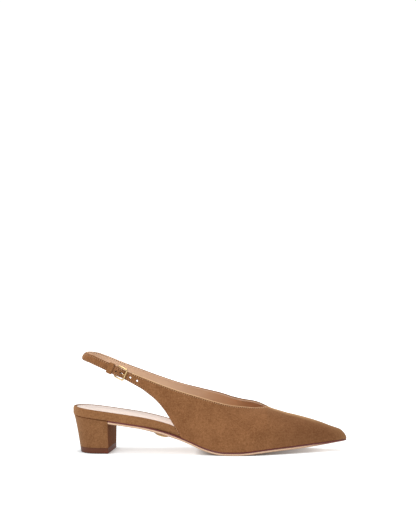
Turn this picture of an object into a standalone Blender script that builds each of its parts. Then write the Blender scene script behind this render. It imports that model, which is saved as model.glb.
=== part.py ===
"""Slingback pump, the right shoe of a pair: pointed toe, open waist, low block heel.

Metres, +X to the toe, +Y to the inner side of the foot, +Z up, floor at z = 0. The functions measure x
from the back of the heel. The shoe hangs on an empty that puts the middle of the heel tread at the origin.
"""

import math
from bisect import bisect_right

import bmesh
import bpy
from mathutils import Matrix, Vector

# Driving sizes of the shoe
SHOE_LENGTH = 0.2635
SEAT_OVERHANG = 0.0009
BALL_WIDTH = 0.0780
HEEL_RISE = 0.0333
TOE_SPRING = 0.0099
INSTEP_HEIGHT = 0.0425
THROAT_SHARE = 0.7145
BACK_RADIUS = 0.0250
TOE_RADIUS = 0.0060
THROAT_RADIUS = 0.0040
NOSE_RADIUS = 0.0076

# Thicknesses of leather, board and sole, and the gap that all fitted pieces keep
SOLE_EDGE = 0.0033
OUTSOLE_SHARE = 0.55
UPPER_WALL = 0.0016
BOARD_THICKNESS = 0.0072
BOARD_ROUND = 0.0015
BOARD_TUCK = 0.0004
BOARD_TOE_INSET = 0.0024
SOCK_THICKNESS = 0.0010
SOCK_INSET = 0.0026
SOCK_BACK_INSET = 0.0010
SOCK_REACH = 0.945
FIT = 0.0003
FEATHER_SET = 0.0002
SWELL = 0.38
WAIST_CROWN = 0.0030
CROWN_REACH = 0.52

# Heel block and its top piece
BREAST_PLACE = 0.0368
BREAST_SKEW = 0.055
SKEW_FADE = 0.0300
HEEL_UNDERCUT = 0.0064
HEEL_OVERHANG = 0.0004
HEEL_TAPER = 0.125
TOP_PIECE_HEIGHT = 0.0055
TOP_PIECE_ROUND = 0.0008

# Sling strap, its tab on the upper, the keeper and the buckle
STRAP_WIDTH = 0.0080
STRAP_EDGE = 0.0003
JOINT_OVERHANG = 0.0016
LOOP_BACK = 0.0068
LOOP_SKEW = 0.0034
LOOP_CROWN = 0.0019
LOOP_SIDE = 0.0360
JOINT_PLACE = 0.0500
TAB_ROOT = 0.0650
TAB_TIP = 0.0368
BAR_PLACE = 0.0442
BUCKLE_REACH = 0.0097
BUCKLE_WIDTH = 0.0110
BUCKLE_RISE = 0.0019
BUCKLE_CORNER = 0.0012
WIRE_RADIUS = 0.0008
PRONG_RADIUS = 0.0005
FOLD_THICKNESS = 0.0010
TAB_CLEARANCE = 0.00035
PRONG_PLAY = 0.0004
KEEPER_WIDTH = 0.0052
KEEPER_THICKNESS = 0.0010
KEEPER_BEND = 0.0006
KEEPER_SET = 0.0060
HOLE_RADIUS = 0.0009
HOLE_PITCH = 0.0073
HOLE_FIRST = 0.0003
SLOT_PLACE = 0.0054
SLOT_LENGTH = 0.0042
CUTTER_DEPTH = 0.0200

# Stud under the waist
STUD_PLACE = 0.0855
STUD_SIDE = -0.0070
STUD_LENGTH = 0.0135
STUD_WIDTH = 0.0080
STUD_HEIGHT = 0.0018

# Fineness of the facets
SOLE_STATIONS = 44
SEAT_STATIONS = 14
QUARTER_STATIONS = 22
TAB_STATIONS = 26
VAMP_STATIONS = 18
WALL_COLUMNS = 9
LOOP_STATIONS = 26
STRAP_COLUMNS = 4
CROWN_COLUMNS = 6
LEG_STATIONS = 4

SIGN = {"outer": -1, "inner": 1}
THROAT_PLACE = THROAT_SHARE * SHOE_LENGTH
TREAD_SHARES = (0.558, 0.598)


class Table:
    """Rows of shares with named columns. Each column is read as one smooth curve without overshoot."""

    def __init__(self, columns, *rows):
        names = columns.split()
        self.columns = dict(zip(names, zip(*rows)))
        self.places = self.columns[names[0]]

    def slope(self, values, i):
        places = self.places
        steps = [
            (places[k + 1] - places[k], (values[k + 1] - values[k]) / (places[k + 1] - places[k]))
            for k in (i - 1, i)
            if 0 <= k < len(places) - 1
        ]
        if len(steps) == 1:
            return steps[0][1]
        (before, rise), (after, next_rise) = steps
        if rise * next_rise <= 0:
            return 0.0
        even = (rise * after + next_rise * before) / (before + after)
        return 2 * math.copysign(min(abs(rise), abs(next_rise), abs(even) / 2), rise)

    def at(self, column, place):
        places, values = self.places, self.columns[column]
        place = min(max(place, places[0]), places[-1])
        i = min(bisect_right(places, place) - 1, len(places) - 2)
        width = places[i + 1] - places[i]
        t = (place - places[i]) / width
        start, end = self.slope(values, i) * width, self.slope(values, i + 1) * width
        rise = values[i + 1] - values[i]
        return values[i] + t * (start + t * (3 * rise - 2 * start - end + t * (start + end - 2 * rise)))


# Half widths of the sole: share of the length | shares of the ball width on the outer and inner side
PLAN = Table(
    "along outer inner",
    (0.000, 0.320, 0.320),
    (0.113, 0.328, 0.327),
    (0.189, 0.344, 0.314),
    (0.283, 0.356, 0.283),
    (0.377, 0.385, 0.270),
    (0.472, 0.436, 0.327),
    (0.547, 0.490, 0.423),
    (0.604, 0.511, 0.474),
    (0.642, 0.508, 0.483),
    (0.717, 0.446, 0.430),
    (0.792, 0.344, 0.339),
    (0.868, 0.229, 0.233),
    (0.925, 0.146, 0.151),
    (0.962, 0.095, 0.097),
    (1.000, 0.050, 0.050),
)

# Underside: share of the length | shares of the heel rise, of the toe spring and of the sole edge
PROFILE = Table(
    "along heel toe edge",
    (0.000, 1.000, 0.000, 1.00),
    (0.068, 0.931, 0.000, 1.00),
    (0.136, 0.856, 0.000, 1.00),
    (0.200, 0.784, 0.000, 1.00),
    (0.260, 0.709, 0.000, 1.00),
    (0.302, 0.637, 0.000, 1.00),
    (0.351, 0.532, 0.000, 1.00),
    (0.400, 0.396, 0.000, 1.00),
    (0.442, 0.261, 0.000, 1.00),
    (0.479, 0.135, 0.000, 1.00),
    (0.500, 0.080, 0.000, 1.00),
    (0.521, 0.039, 0.000, 1.00),
    (0.540, 0.012, 0.000, 1.00),
    (TREAD_SHARES[0], 0.000, 0.000, 1.00),
    (TREAD_SHARES[1], 0.000, 0.000, 1.00),
    (0.622, 0.000, 0.020, 1.00),
    (0.645, 0.000, 0.068, 1.00),
    (0.670, 0.000, 0.140, 1.00),
    (0.700, 0.000, 0.222, 1.00),
    (0.743, 0.000, 0.320, 1.00),
    (0.800, 0.000, 0.420, 1.00),
    (0.860, 0.000, 0.540, 1.00),
    (0.917, 0.000, 0.710, 0.80),
    (0.974, 0.000, 0.910, 0.60),
    (1.000, 0.000, 1.000, 0.52),
)

# Insole board: share of the length | share of its thickness at the seat | share of side inset
BOARD = Table(
    "along thick inset",
    (0.000, 1.000, 0.0),
    (0.230, 1.000, 0.0),
    (0.350, 1.000, 1.0),
    (0.400, 0.900, 1.0),
    (0.470, 0.560, 1.0),
    (0.540, 0.400, 1.0),
    (1.000, 0.360, 1.0),
)

# Topline: share of the length | shares of the instep height over the heel's lean, and of an upright wall
TOPLINE = Table(
    "along outer inner upright",
    (0.118, 1.522, 1.545, 1.00),
    (0.211, 1.407, 1.448, 1.00),
    (0.283, 1.336, 1.379, 1.00),
    (0.343, 1.275, 1.330, 1.00),
    (0.390, 1.234, 1.298, 0.99),
    (0.465, 1.181, 1.271, 0.92),
    (0.540, 1.113, 1.240, 0.72),
    (0.614, 1.042, 1.152, 0.48),
    (0.681, 0.991, 1.088, 0.18),
    (THROAT_SHARE, 1.000, 1.000, 0.00),
)

# Half widths at the topline: share of the length | shares of the ball width
GIRTH = Table(
    "along outer inner",
    (0.136, 0.309, 0.309),
    (0.189, 0.328, 0.319),
    (0.242, 0.349, 0.331),
    (0.283, 0.362, 0.341),
    (0.340, 0.373, 0.347),
    (0.423, 0.372, 0.347),
    (0.464, 0.365, 0.341),
    (0.509, 0.345, 0.322),
    (0.555, 0.310, 0.300),
    (0.600, 0.247, 0.240),
    (0.645, 0.162, 0.166),
    (0.668, 0.115, 0.122),
    (0.691, 0.067, 0.068),
    (THROAT_SHARE, 0.031, 0.031),
)

# Rows of the quarter from the tab forward: place on the topline | place of its foot | share cut away below
QUARTER = Table(
    "top foot cut",
    (0.118, 0.106, 0.129),
    (0.211, 0.1985, 0.160),
    (0.243, 0.232, 0.188),
    (0.272, 0.262, 0.228),
    (0.287, 0.285, 0.296),
    (0.302, 0.307, 0.366),
    (0.317, 0.3285, 0.467),
    (0.332, 0.349, 0.594),
    (0.3455, 0.367, 0.735),
    (0.358, 0.387, 0.887),
    (0.370, 0.404, 1.000),
    (0.404, 0.434, 1.000),
    (0.445, 0.472, 1.000),
    (0.490, 0.510, 1.000),
    (0.536, 0.547, 1.000),
    (0.579, 0.585, 1.000),
    (THROAT_SHARE, THROAT_SHARE, 1.000),
)

# Ridge of the vamp: share of the length | share of the throat's height over the sole edge
RIDGE = Table(
    "along rise",
    (THROAT_SHARE, 1.000),
    (0.733, 0.935),
    (0.755, 0.876),
    (0.777, 0.818),
    (0.821, 0.720),
    (0.864, 0.612),
    (0.908, 0.490),
    (0.951, 0.349),
    (0.973, 0.280),
    (1.000, 0.185),
)

# Outward lean of the wall at its foot: share of the length | degrees on the outer and inner side
FLARE = Table(
    "along outer inner",
    (0.380, 5.0, 26.0),
    (0.470, 9.0, 20.0),
    (0.560, 13.0, 11.0),
    (0.640, 13.0, 11.0),
    (0.800, 14.0, 14.0),
    (1.000, 10.0, 10.0),
)

# Middle line of the sling strap: share of the length | shares of the instep height over the heel's lean
STRAP_LINE = Table(
    "along outer inner",
    (0.033, 1.452, 1.455),
    (0.053, 1.463, 1.471),
    (0.072, 1.465, 1.474),
    (0.094, 1.448, 1.458),
    (0.113, 1.429, 1.440),
    (0.136, 1.400, 1.415),
    (0.167, 1.358, 1.384),
    (0.205, 1.307, 1.346),
    (0.245, 1.256, 1.308),
)


def along(x):
    return x / SHOE_LENGTH


def rounded(distance, radius):
    """Share of the full width, this far from a round end."""
    return math.sqrt(max(0.0, 1 - (1 - min(distance / radius, 1)) ** 2))


def soft_step(t):
    t = min(max(t, 0.0), 1.0)
    return t * t * (3 - 2 * t)


def blend(a, b, share):
    return a + (b - a) * share


def underside(x):
    return HEEL_RISE * PROFILE.at("heel", along(x)) + TOE_SPRING * PROFILE.at("toe", along(x))


def sole_edge(x):
    return SOLE_EDGE * PROFILE.at("edge", along(x))


def seat_line(x):
    """Top of the sole's edge, which the upper, the board and the heel block meet."""
    return underside(x) + sole_edge(x)


def heel_lean(x):
    """How far the heel lifts the foot here, as a curve that ends at the ball."""
    return HEEL_RISE * max(0.0, 1 - x / (0.58 * SHOE_LENGTH)) ** 1.25


def half_width(side, x):
    ends = rounded(x + SEAT_OVERHANG, BACK_RADIUS) * rounded(SHOE_LENGTH - x, TOE_RADIUS)
    return BALL_WIDTH * PLAN.at(side, along(x)) * ends


def girth(side, x):
    return BALL_WIDTH * GIRTH.at(side, along(x)) * rounded(THROAT_PLACE - x, THROAT_RADIUS)


def stations(first, last, count, *kept):
    """Places from first to last, crowded at both ends, with the kept places in the row."""
    places = [first + (last - first) * (1 - math.cos(math.pi * i / count)) / 2 for i in range(count + 1)]
    for place in kept:
        nearest = min(range(1, count), key=lambda i: abs(places[i] - place))
        places[nearest] = place
    return places


def sole_places():
    """Rows of the sole from the breast to the toe, shared by every layer that lies on it."""
    tread = [share * SHOE_LENGTH for share in TREAD_SHARES]
    return stations(BREAST_PLACE + FIT, SHOE_LENGTH, SOLE_STATIONS, *tread)


def seat_shares():
    """Shares of the way from the back of the seat to the breast, crowded at the back."""
    return [1 - math.cos(math.pi / 2 * i / SEAT_STATIONS) for i in range(SEAT_STATIONS + 1)]


def seat_place(share):
    return blend(-SEAT_OVERHANG, BREAST_PLACE, share)


def material(name, colour, roughness, metallic=0.0):
    made = bpy.data.materials.new(name)
    made.use_nodes = True
    shader = made.node_tree.nodes["Principled BSDF"]
    shader.inputs["Base Color"].default_value = (*colour, 1)
    shader.inputs["Roughness"].default_value = roughness
    shader.inputs["Metallic"].default_value = metallic
    return made


def add_object(name, data, finish=None):
    """A new object of the shoe, hung on the empty."""
    made = bpy.data.objects.new(name, data)
    shoe_parts.objects.link(made)
    made.parent = shoe_frame
    if finish:
        made.data.materials.append(finish)
    return made


def add_cutter(made):
    """A helper solid, which only cuts or joins."""
    for holder in list(made.users_collection):
        holder.objects.unlink(made)
    cutters.objects.link(made)
    made.hide_render = True
    made.display_type = "WIRE"
    return made


def add_boolean(target, other, operation):
    joined = target.modifiers.new(f"{operation.lower()}_{other.name}", "BOOLEAN")
    joined.object = other
    joined.operation = operation
    joined.solver = "EXACT"


def add_mesh(name, points, faces, finish=None, closed=True):
    mesh = bpy.data.meshes.new(name)
    mesh.from_pydata(points, [], faces)
    edit = bmesh.new()
    edit.from_mesh(mesh)
    bmesh.ops.remove_doubles(edit, verts=edit.verts, dist=1e-6)
    bmesh.ops.dissolve_degenerate(edit, edges=edit.edges, dist=1e-7)
    if closed:
        bmesh.ops.recalc_face_normals(edit, faces=edit.faces)
        if edit.calc_volume(signed=True) < 0:
            bmesh.ops.reverse_faces(edit, faces=edit.faces)
    edit.to_mesh(mesh)
    edit.free()
    mesh.shade_smooth()
    mesh.set_sharp_from_angle(angle=math.radians(35))
    return add_object(name, mesh, finish)


def loft(name, rings, finish, crown=None, columns=1):
    """A closed solid from rings of (outer points, inner points), bottom to top, capped across.

    crown gives how far the bottom cap hangs below its rim at x, and columns how many facets cross it.
    """
    count = len(rings[0][0])
    turn = 2 * count
    points = [point for outer, inner in rings for point in outer + inner[::-1]]
    faces = [
        (r * turn + k, r * turn + k + 1, (r + 1) * turn + k + 1, (r + 1) * turn + k)
        for r in range(len(rings) - 1)
        for k in range(turn - 1)
        if k != count - 1
    ]
    row = columns + 1
    bottom = len(points)
    for outer, inner in zip(*rings[0]):
        for j in range(row):
            point = outer.lerp(inner, j / columns)
            if crown:
                point.z -= crown(point.x) * (1 - (2 * j / columns - 1) ** 2)
            points.append(point)
    faces += [
        tuple(bottom + row * a + b for a, b in ((i, j), (i + 1, j), (i + 1, j + 1), (i, j + 1)))
        for i in range(count - 1)
        for j in range(columns)
    ]
    top = (len(rings) - 1) * turn
    faces += [
        (top + i, top + i + 1, top + turn - 2 - i, top + turn - 1 - i) for i in range(count - 1)
    ]
    for i in (0, count - 1):
        if (rings[0][0][i] - rings[0][1][i]).length > 1e-5:
            side = [r * turn + i for r in range(len(rings))]
            other = [r * turn + turn - 1 - i for r in reversed(range(len(rings)))]
            faces.append(tuple(side + other + [bottom + row * i + j for j in range(columns - 1, 0, -1)]))
    return add_mesh(name, points, faces, finish)


def outline_ring(places, inset, height, skewed=False):
    """The sole's outline moved in by inset(x), at height(x). A skewed one starts along the heel's breast."""
    ring = []
    for side, sign in SIGN.items():
        flat = [Vector((x, sign * half_width(side, x))) for x in places]
        moved = []
        for i, point in enumerate(flat):
            ahead = flat[min(i + 1, len(flat) - 1)] - flat[max(i - 1, 0)]
            inward = Vector((sign * ahead.y, -sign * ahead.x)).normalized()
            if abs(point.y) < 1e-9:
                inward = Vector((1, 0) if i == 0 else (-1, 0))
            x, y = point + inward * inset(point.x)
            if skewed:
                x += BREAST_SKEW * y * max(0, 1 - (x - BREAST_PLACE) / SKEW_FADE)
            moved.append(Vector((x, y, height(x))))
        ring.append(moved)
    return ring


def make_sole(finish_sole, finish_rand):
    """Outsole from breast to toe tip, and the dark rand layer between it and the upper."""
    places = sole_places()

    def crown(x):
        t = (x - BREAST_PLACE) / (CROWN_REACH * SHOE_LENGTH - BREAST_PLACE)
        return WAIST_CROWN * math.sin(math.pi * min(max(t, 0), 1)) ** 2

    def outsole_height(share):
        return lambda x: underside(x) + sole_edge(x) * OUTSOLE_SHARE * share

    def rand_height(share):
        return lambda x: blend(
            underside(x) + sole_edge(x) * OUTSOLE_SHARE + FIT / 2, seat_line(x) - FIT, share
        )

    def tucked(share):
        return lambda x: FIT * share

    outsole_rings = [
        outline_ring(places, tucked(inset), outsole_height(share), True)
        for inset, share in ((2, 0.0), (0, 0.3), (0, 0.8), (1, 1.0))
    ]
    loft("outsole", outsole_rings, finish_sole, crown, CROWN_COLUMNS)
    rand_rings = [outline_ring(places, tucked(1.5), rand_height(share), True) for share in (0, 1)]
    loft("sole_rand", rand_rings, finish_rand)


def board_top(x):
    return seat_line(x) + BOARD_THICKNESS * BOARD.at("thick", along(x))


def board_inset(x):
    """The board is flush with the heel at the seat and lies inside the upper's wall from the waist on."""
    toe = BOARD_TOE_INSET * soft_step((along(x) - 0.9) / 0.1)
    return (FEATHER_SET + UPPER_WALL + FIT) * BOARD.at("inset", along(x)) + toe


def make_insole(finish_board, finish_sock):
    """The wrapped insole board, thick at the seat, and the sock lining glued on it."""
    places = [seat_place(share) for share in seat_shares()] + sole_places()[1:]

    def inset(more):
        return lambda x: board_inset(x) + more

    def corner(share):
        return lambda x: board_top(x) - BOARD_ROUND * share

    def level(share):
        return lambda x: blend(seat_line(x), board_top(x), share)

    rings = [
        outline_ring(places, inset(BOARD_TUCK), level(0)),
        outline_ring(places, inset(BOARD_TUCK * 0.3), level(0.12)),
        outline_ring(places, inset(0), level(0.35)),
        outline_ring(places, inset(0), corner(1)),
        outline_ring(places, inset(BOARD_ROUND * 0.3), corner(0.3)),
        outline_ring(places, inset(BOARD_ROUND), corner(0)),
    ]
    loft("insole_board", rings, finish_board)
    sock_places = [x for x in places if x < SOCK_REACH * SHOE_LENGTH] + [SOCK_REACH * SHOE_LENGTH]

    def sock_inset(x):
        return board_inset(x) + SOCK_INSET + SOCK_BACK_INSET * soft_step(1 - x / BREAST_PLACE)

    sock = [
        outline_ring(sock_places, sock_inset, lambda x: board_top(x) + FIT),
        outline_ring(sock_places, sock_inset, lambda x: board_top(x) + FIT + SOCK_THICKNESS),
    ]
    loft("sock_lining", sock, finish_sock)


def heel_ring(level, height):
    """The heel's D outline at a share of its height, for the block and its top piece."""
    back = blend(-HEEL_OVERHANG, HEEL_UNDERCUT, (1 - level) ** 0.75)
    ring = []
    for side, sign in SIGN.items():
        points = []
        for q in seat_shares():
            y = sign * half_width(side, seat_place(q)) * (1 - HEEL_TAPER * (1 - level) ** 1.4)
            x = blend(back, BREAST_PLACE, q) + BREAST_SKEW * y * q
            points.append(Vector((x, y, height(x))))
        ring.append(points)
    return ring


def shrunk(ring, inset):
    """A ring moved towards its own middle by about the inset."""
    points = ring[0] + ring[1]
    middle = sum(points, Vector()) / len(points)
    reach = max(abs(point.y) for point in points)
    share = 1 - inset / reach
    return [
        [Vector((blend(middle.x, p.x, share), p.y * share, p.z)) for p in side] for side in ring
    ]


def make_heel(finish_block, finish_piece):
    """The covered block under the seat and the top piece that wears on the floor."""
    foot = TOP_PIECE_HEIGHT + FIT
    levels = (0.0, 0.12, 0.28, 0.45, 0.62, 0.78, 0.90, 1.0)

    def block_height(share):
        return lambda x: blend(foot, seat_line(x) - FIT, share)

    block = []
    for share in levels:
        level = blend(foot / (HEEL_RISE + SOLE_EDGE), 1, share)
        block.append(heel_ring(level, block_height(share)))
    loft("heel_block", block, finish_block)

    def piece_ring(share):
        level = TOP_PIECE_HEIGHT * share / (HEEL_RISE + SOLE_EDGE)
        return heel_ring(level, lambda x: TOP_PIECE_HEIGHT * share)

    piece = [shrunk(piece_ring(0), TOP_PIECE_ROUND), piece_ring(0.16), piece_ring(1)]
    loft("top_piece", piece, finish_piece)


def strap_point(side, x):
    """Middle of the sling strap's thickness and width beside the heel."""
    y = SIGN[side] * (girth(side, x) - UPPER_WALL / 2)
    z = heel_lean(x) + INSTEP_HEIGHT * STRAP_LINE.at(side, along(x))
    return Vector((x, y, z))


def strap_frame(side, x):
    """The strap's middle and its directions: forward along it, outward, and up across its width."""
    middle = strap_point(side, x)
    forward = (strap_point(side, x + FIT) - strap_point(side, x - FIT)).normalized()
    outward = Vector((forward.y, -forward.x, 0)) * -SIGN[side]
    outward.normalize()
    across = outward.cross(forward)
    if across.z < 0:
        across.negate()
    return middle, forward, outward, across


def buckle_matrix():
    """Axes at the buckle's hinge bar: X forward along the strap, Y outward, Z up across it."""
    middle, forward, outward, across = strap_frame("outer", BAR_PLACE)
    turned = Matrix((forward, outward, across)).transposed().to_4x4()
    return Matrix.Translation(middle) @ turned


def tab_lift(s):
    """How far the tab's inside stands off the strap line, s in front of the hinge bar."""
    over_strap = UPPER_WALL + FIT
    over_fold = UPPER_WALL / 2 + WIRE_RADIUS + FIT + FOLD_THICKNESS + TAB_CLEARANCE
    rows = Table(
        "place lift",
        (-0.0200, over_strap),
        (-0.0027, over_strap),
        (-0.0006, over_fold),
        (0.0007, over_fold),
        (0.0037, over_fold * 0.50),
        (0.0068, 0.00012),
        (0.0084, 0.0),
        (0.0200, 0.0),
    )
    return rows.at("lift", s)


def wall_ends(side, top_x):
    """Foot and top of the upper's wall at this place of the topline, and how free its foot is."""
    sign = SIGN[side]
    if top_x >= THROAT_PLACE:
        throat = INSTEP_HEIGHT - seat_line(THROAT_PLACE)
        rise = throat * RIDGE.at("rise", along(top_x)) * rounded(SHOE_LENGTH - top_x, NOSE_RADIUS)
        foot = Vector((top_x, sign * max(0, half_width(side, top_x) - FEATHER_SET), seat_line(top_x)))
        return foot, Vector((top_x, 0, seat_line(top_x) + rise)), 1.0
    foot_x = SHOE_LENGTH * QUARTER.at("foot", along(top_x))
    cut = QUARTER.at("cut", along(top_x))
    top_z = heel_lean(top_x) + INSTEP_HEIGHT * TOPLINE.at(side, along(top_x))
    foot_z = blend(top_z, seat_line(foot_x), cut)
    held = soft_step((cut - 0.2) / 0.8)
    foot_y = blend(girth(side, foot_x), half_width(side, foot_x) - FEATHER_SET, held)
    foot = Vector((foot_x, sign * foot_y, foot_z))
    top = Vector((top_x, sign * girth(side, top_x), top_z))
    narrow = 1 - soft_step((top_x - 0.8 * TAB_ROOT) / (0.2 * TAB_ROOT))
    if narrow > 0:
        middle, _, outward, across = strap_frame(side, top_x - JOINT_OVERHANG)
        middle += outward * UPPER_WALL / 2
        top = top.lerp(middle + across * STRAP_WIDTH / 2, narrow)
        foot = foot.lerp(middle - across * STRAP_WIDTH / 2, narrow)
    return foot, top, held


def wall_section(side, top_x):
    """Points of the upper's outer face from its foot to its top, as one swelling curve."""
    foot, top, held = wall_ends(side, top_x)
    sign = SIGN[side]
    flare = math.radians(FLARE.at(side, along(foot.x))) * held
    upright = TOPLINE.at("upright", along(top_x)) * math.pi / 2 if top_x < THROAT_PLACE else 0.0
    reach = SWELL * (top - foot).length
    low = foot + Vector(((top.x - foot.x) / 3, sign * reach * math.sin(flare), reach * math.cos(flare)))
    high = top + Vector(
        ((foot.x - top.x) / 3, sign * reach * math.cos(upright), -reach * math.sin(upright))
    )
    if held == 0:
        low, high = foot.lerp(top, 1 / 3), foot.lerp(top, 2 / 3)
    points = []
    for j in range(WALL_COLUMNS + 1):
        t = j / WALL_COLUMNS
        u = 1 - t
        points.append(foot * u**3 + low * 3 * t * u * u + high * 3 * t * t * u + top * t**3)
    if side == "outer" and top_x < TAB_ROOT:
        middle, forward, outward, _ = strap_frame(side, BAR_PLACE)
        s = ((foot + top) / 2 - middle).dot(forward)
        narrow = rounded(top_x - TAB_TIP + TAB_CLEARANCE, STRAP_WIDTH / 2)
        centre = (foot + top) / 2
        points = [centre.lerp(point, narrow) + outward * tab_lift(s) for point in points]
    return points


def wall_stations(side):
    vamp = [
        SHOE_LENGTH - (SHOE_LENGTH - THROAT_PLACE) * (1 - i / VAMP_STATIONS) ** 2
        for i in range(VAMP_STATIONS + 1)
    ]
    root = TAB_ROOT if side == "outer" else JOINT_PLACE
    quarter = [
        THROAT_PLACE - (THROAT_PLACE - root) * (1 - i / QUARTER_STATIONS) ** 1.4
        for i in range(QUARTER_STATIONS)
    ]
    tab = [blend(TAB_TIP, TAB_ROOT, i / TAB_STATIONS) for i in range(TAB_STATIONS)]
    return (tab if side == "outer" else []) + quarter + vamp


def make_upper(finish):
    """Vamp and both quarters as one sheet with a wall, the tab with its holes on the outer quarter."""
    points, faces = [], []
    wide = WALL_COLUMNS + 1
    for side in SIGN:
        start = len(points)
        rows = wall_stations(side)
        for top_x in rows:
            points += wall_section(side, top_x)
        for i in range(len(rows) - 1):
            for j in range(WALL_COLUMNS):
                corners = [start + wide * a + b for a, b in ((i, j), (i + 1, j), (i + 1, j + 1), (i, j + 1))]
                faces.append(tuple(corners if side == "outer" else corners[::-1]))
    upper = add_mesh("upper", points, faces, finish, closed=False)
    wall = upper.modifiers.new("wall", "SOLIDIFY")
    wall.thickness = UPPER_WALL
    wall.offset = -1
    wall.use_even_offset = False
    place = buckle_matrix()
    for k in (0, 2, 3):
        bpy.ops.mesh.primitive_cylinder_add(vertices=16, radius=HOLE_RADIUS, depth=CUTTER_DEPTH)
        hole = add_cutter(bpy.context.object)
        hole.name = f"hole_cutter_{k}"
        hole.parent = shoe_frame
        spot = Matrix.Translation((HOLE_FIRST + k * HOLE_PITCH, 0, 0))
        hole.matrix_local = place @ spot @ Matrix.Rotation(math.pi / 2, 4, "X")
        add_boolean(upper, hole, "DIFFERENCE")
    size = (SLOT_LENGTH, CUTTER_DEPTH, 2 * (PRONG_RADIUS + PRONG_PLAY))
    slot = add_box("slot_cutter", size, place @ Matrix.Translation((SLOT_PLACE, 0, 0)))
    add_boolean(upper, slot, "DIFFERENCE")


def add_box(name, size, place):
    bpy.ops.mesh.primitive_cube_add(size=1)
    box = add_cutter(bpy.context.object)
    box.name = name
    box.data.transform(Matrix.Diagonal((*size, 1)))
    box.parent = shoe_frame
    box.matrix_local = place
    return box


def strap_path():
    """Middle points of the strap from the inner quarter round the heel to the hinge bar, with frames."""
    path = []
    crowns = [0.0] * LEG_STATIONS
    joint = JOINT_PLACE - JOINT_OVERHANG
    path += [strap_frame("inner", blend(joint, LOOP_SIDE, i / LEG_STATIONS)) for i in range(LEG_STATIONS)]
    path[0] = (path[0][0] - path[0][1] * FIT, *path[0][1:])
    loop = []
    reach = LOOP_SIDE - LOOP_BACK - UPPER_WALL / 2
    for i in range(LOOP_STATIONS + 1):
        angle = math.pi / 2 - math.pi * i / LOOP_STATIONS
        side = "inner" if angle > 0 else "outer"
        beside = girth(side, LOOP_SIDE) - UPPER_WALL / 2
        skew = LOOP_SKEW * (1 + math.sin(angle)) / 2
        x = LOOP_SIDE - (reach - skew) * math.cos(angle)
        z = strap_point(side, x).z
        point = Vector((x, beside * math.sin(angle), z))
        outward = Vector((-beside * math.cos(angle), reach * math.sin(angle), 0)).normalized()
        loop.append((point, outward))
        crowns.append(LOOP_CROWN * math.cos(angle) ** 2)
    start, finish = strap_frame("inner", LOOP_SIDE)[3], strap_frame("outer", LOOP_SIDE)[3]
    for i, (point, outward) in enumerate(loop):
        ahead = loop[min(i + 1, LOOP_STATIONS)][0] - loop[max(i - 1, 0)][0]
        across = start.lerp(finish, i / LOOP_STATIONS).normalized()
        path.append((point, ahead, outward, across))
    end = BAR_PLACE - (WIRE_RADIUS + FIT + FOLD_THICKNESS * 0.4)
    path += [strap_frame("outer", blend(LOOP_SIDE, end, (i + 1) / LEG_STATIONS)) for i in range(LEG_STATIONS)]
    crowns += [0.0] * LEG_STATIONS
    return path, crowns


def strap_section(crown):
    """Corners of the strap's section as (across, outward). A crowned one bows out at its middle."""
    half_w, half_t = STRAP_WIDTH / 2, UPPER_WALL / 2
    flat_w, flat_t = half_w - STRAP_EDGE, half_t - STRAP_EDGE
    rows = [blend(flat_w, -flat_w, j / STRAP_COLUMNS) for j in range(STRAP_COLUMNS + 1)]
    outline = [(a, half_t) for a in rows] + [(-half_w, flat_t), (-half_w, -flat_t)]
    outline += [(a, -half_t) for a in reversed(rows)] + [(half_w, -flat_t), (half_w, flat_t)]
    return [(a, b - crown * (a / half_w) ** 2) for a, b in outline]


def make_strap(finish):
    """The sling strap, folded round the hinge bar at its outer end, with a slot for the prong."""
    points, faces = [], []
    path, crowns = strap_path()
    for (middle, _, outward, across), crown in zip(path, crowns):
        points += [middle + across * a + outward * b for a, b in strap_section(crown)]
    turn = len(points) // len(path)
    for i in range(len(path) - 1):
        faces += [
            (i * turn + k, i * turn + (k + 1) % turn, (i + 1) * turn + (k + 1) % turn, (i + 1) * turn + k)
            for k in range(turn)
        ]
    faces += [tuple(range(turn)), tuple(range(len(points) - turn, len(points)))]
    strap = add_mesh("sling_strap", points, faces, finish)
    place = buckle_matrix()
    fold = add_rod("fold_core", WIRE_RADIUS + FIT + FOLD_THICKNESS, STRAP_WIDTH, place)
    bore = add_rod("fold_bore", WIRE_RADIUS + FIT, 2 * STRAP_WIDTH, place)
    reach = WIRE_RADIUS + 2 * FIT + FOLD_THICKNESS
    size = (3 * reach, 4 * reach, 2 * (PRONG_RADIUS + FIT))
    slot = add_box("prong_slot", size, place @ Matrix.Translation((reach / 2, 0, 0)))
    add_boolean(strap, fold, "UNION")
    add_boolean(strap, bore, "DIFFERENCE")
    add_boolean(strap, slot, "DIFFERENCE")


def add_rod(name, radius, length, place):
    bpy.ops.mesh.primitive_cylinder_add(vertices=20, radius=radius, depth=length)
    rod = add_cutter(bpy.context.object)
    rod.name = name
    rod.parent = shoe_frame
    rod.matrix_local = place
    return rod


def add_wire(name, points, radius, place, finish, closed, swell=None):
    """A metal wire along points in the buckle's axes."""
    curve = bpy.data.curves.new(name, "CURVE")
    curve.dimensions = "3D"
    curve.bevel_depth = radius
    curve.bevel_resolution = 2
    curve.use_fill_caps = not closed
    spline = curve.splines.new("POLY")
    spline.points.add(len(points) - 1)
    for k, (target, point) in enumerate(zip(spline.points, points)):
        target.co = (*point, 1)
        if swell:
            target.radius = swell[k]
    spline.use_cyclic_u = closed
    wire = add_object(name, curve, finish)
    wire.matrix_local = place
    return wire


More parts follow.
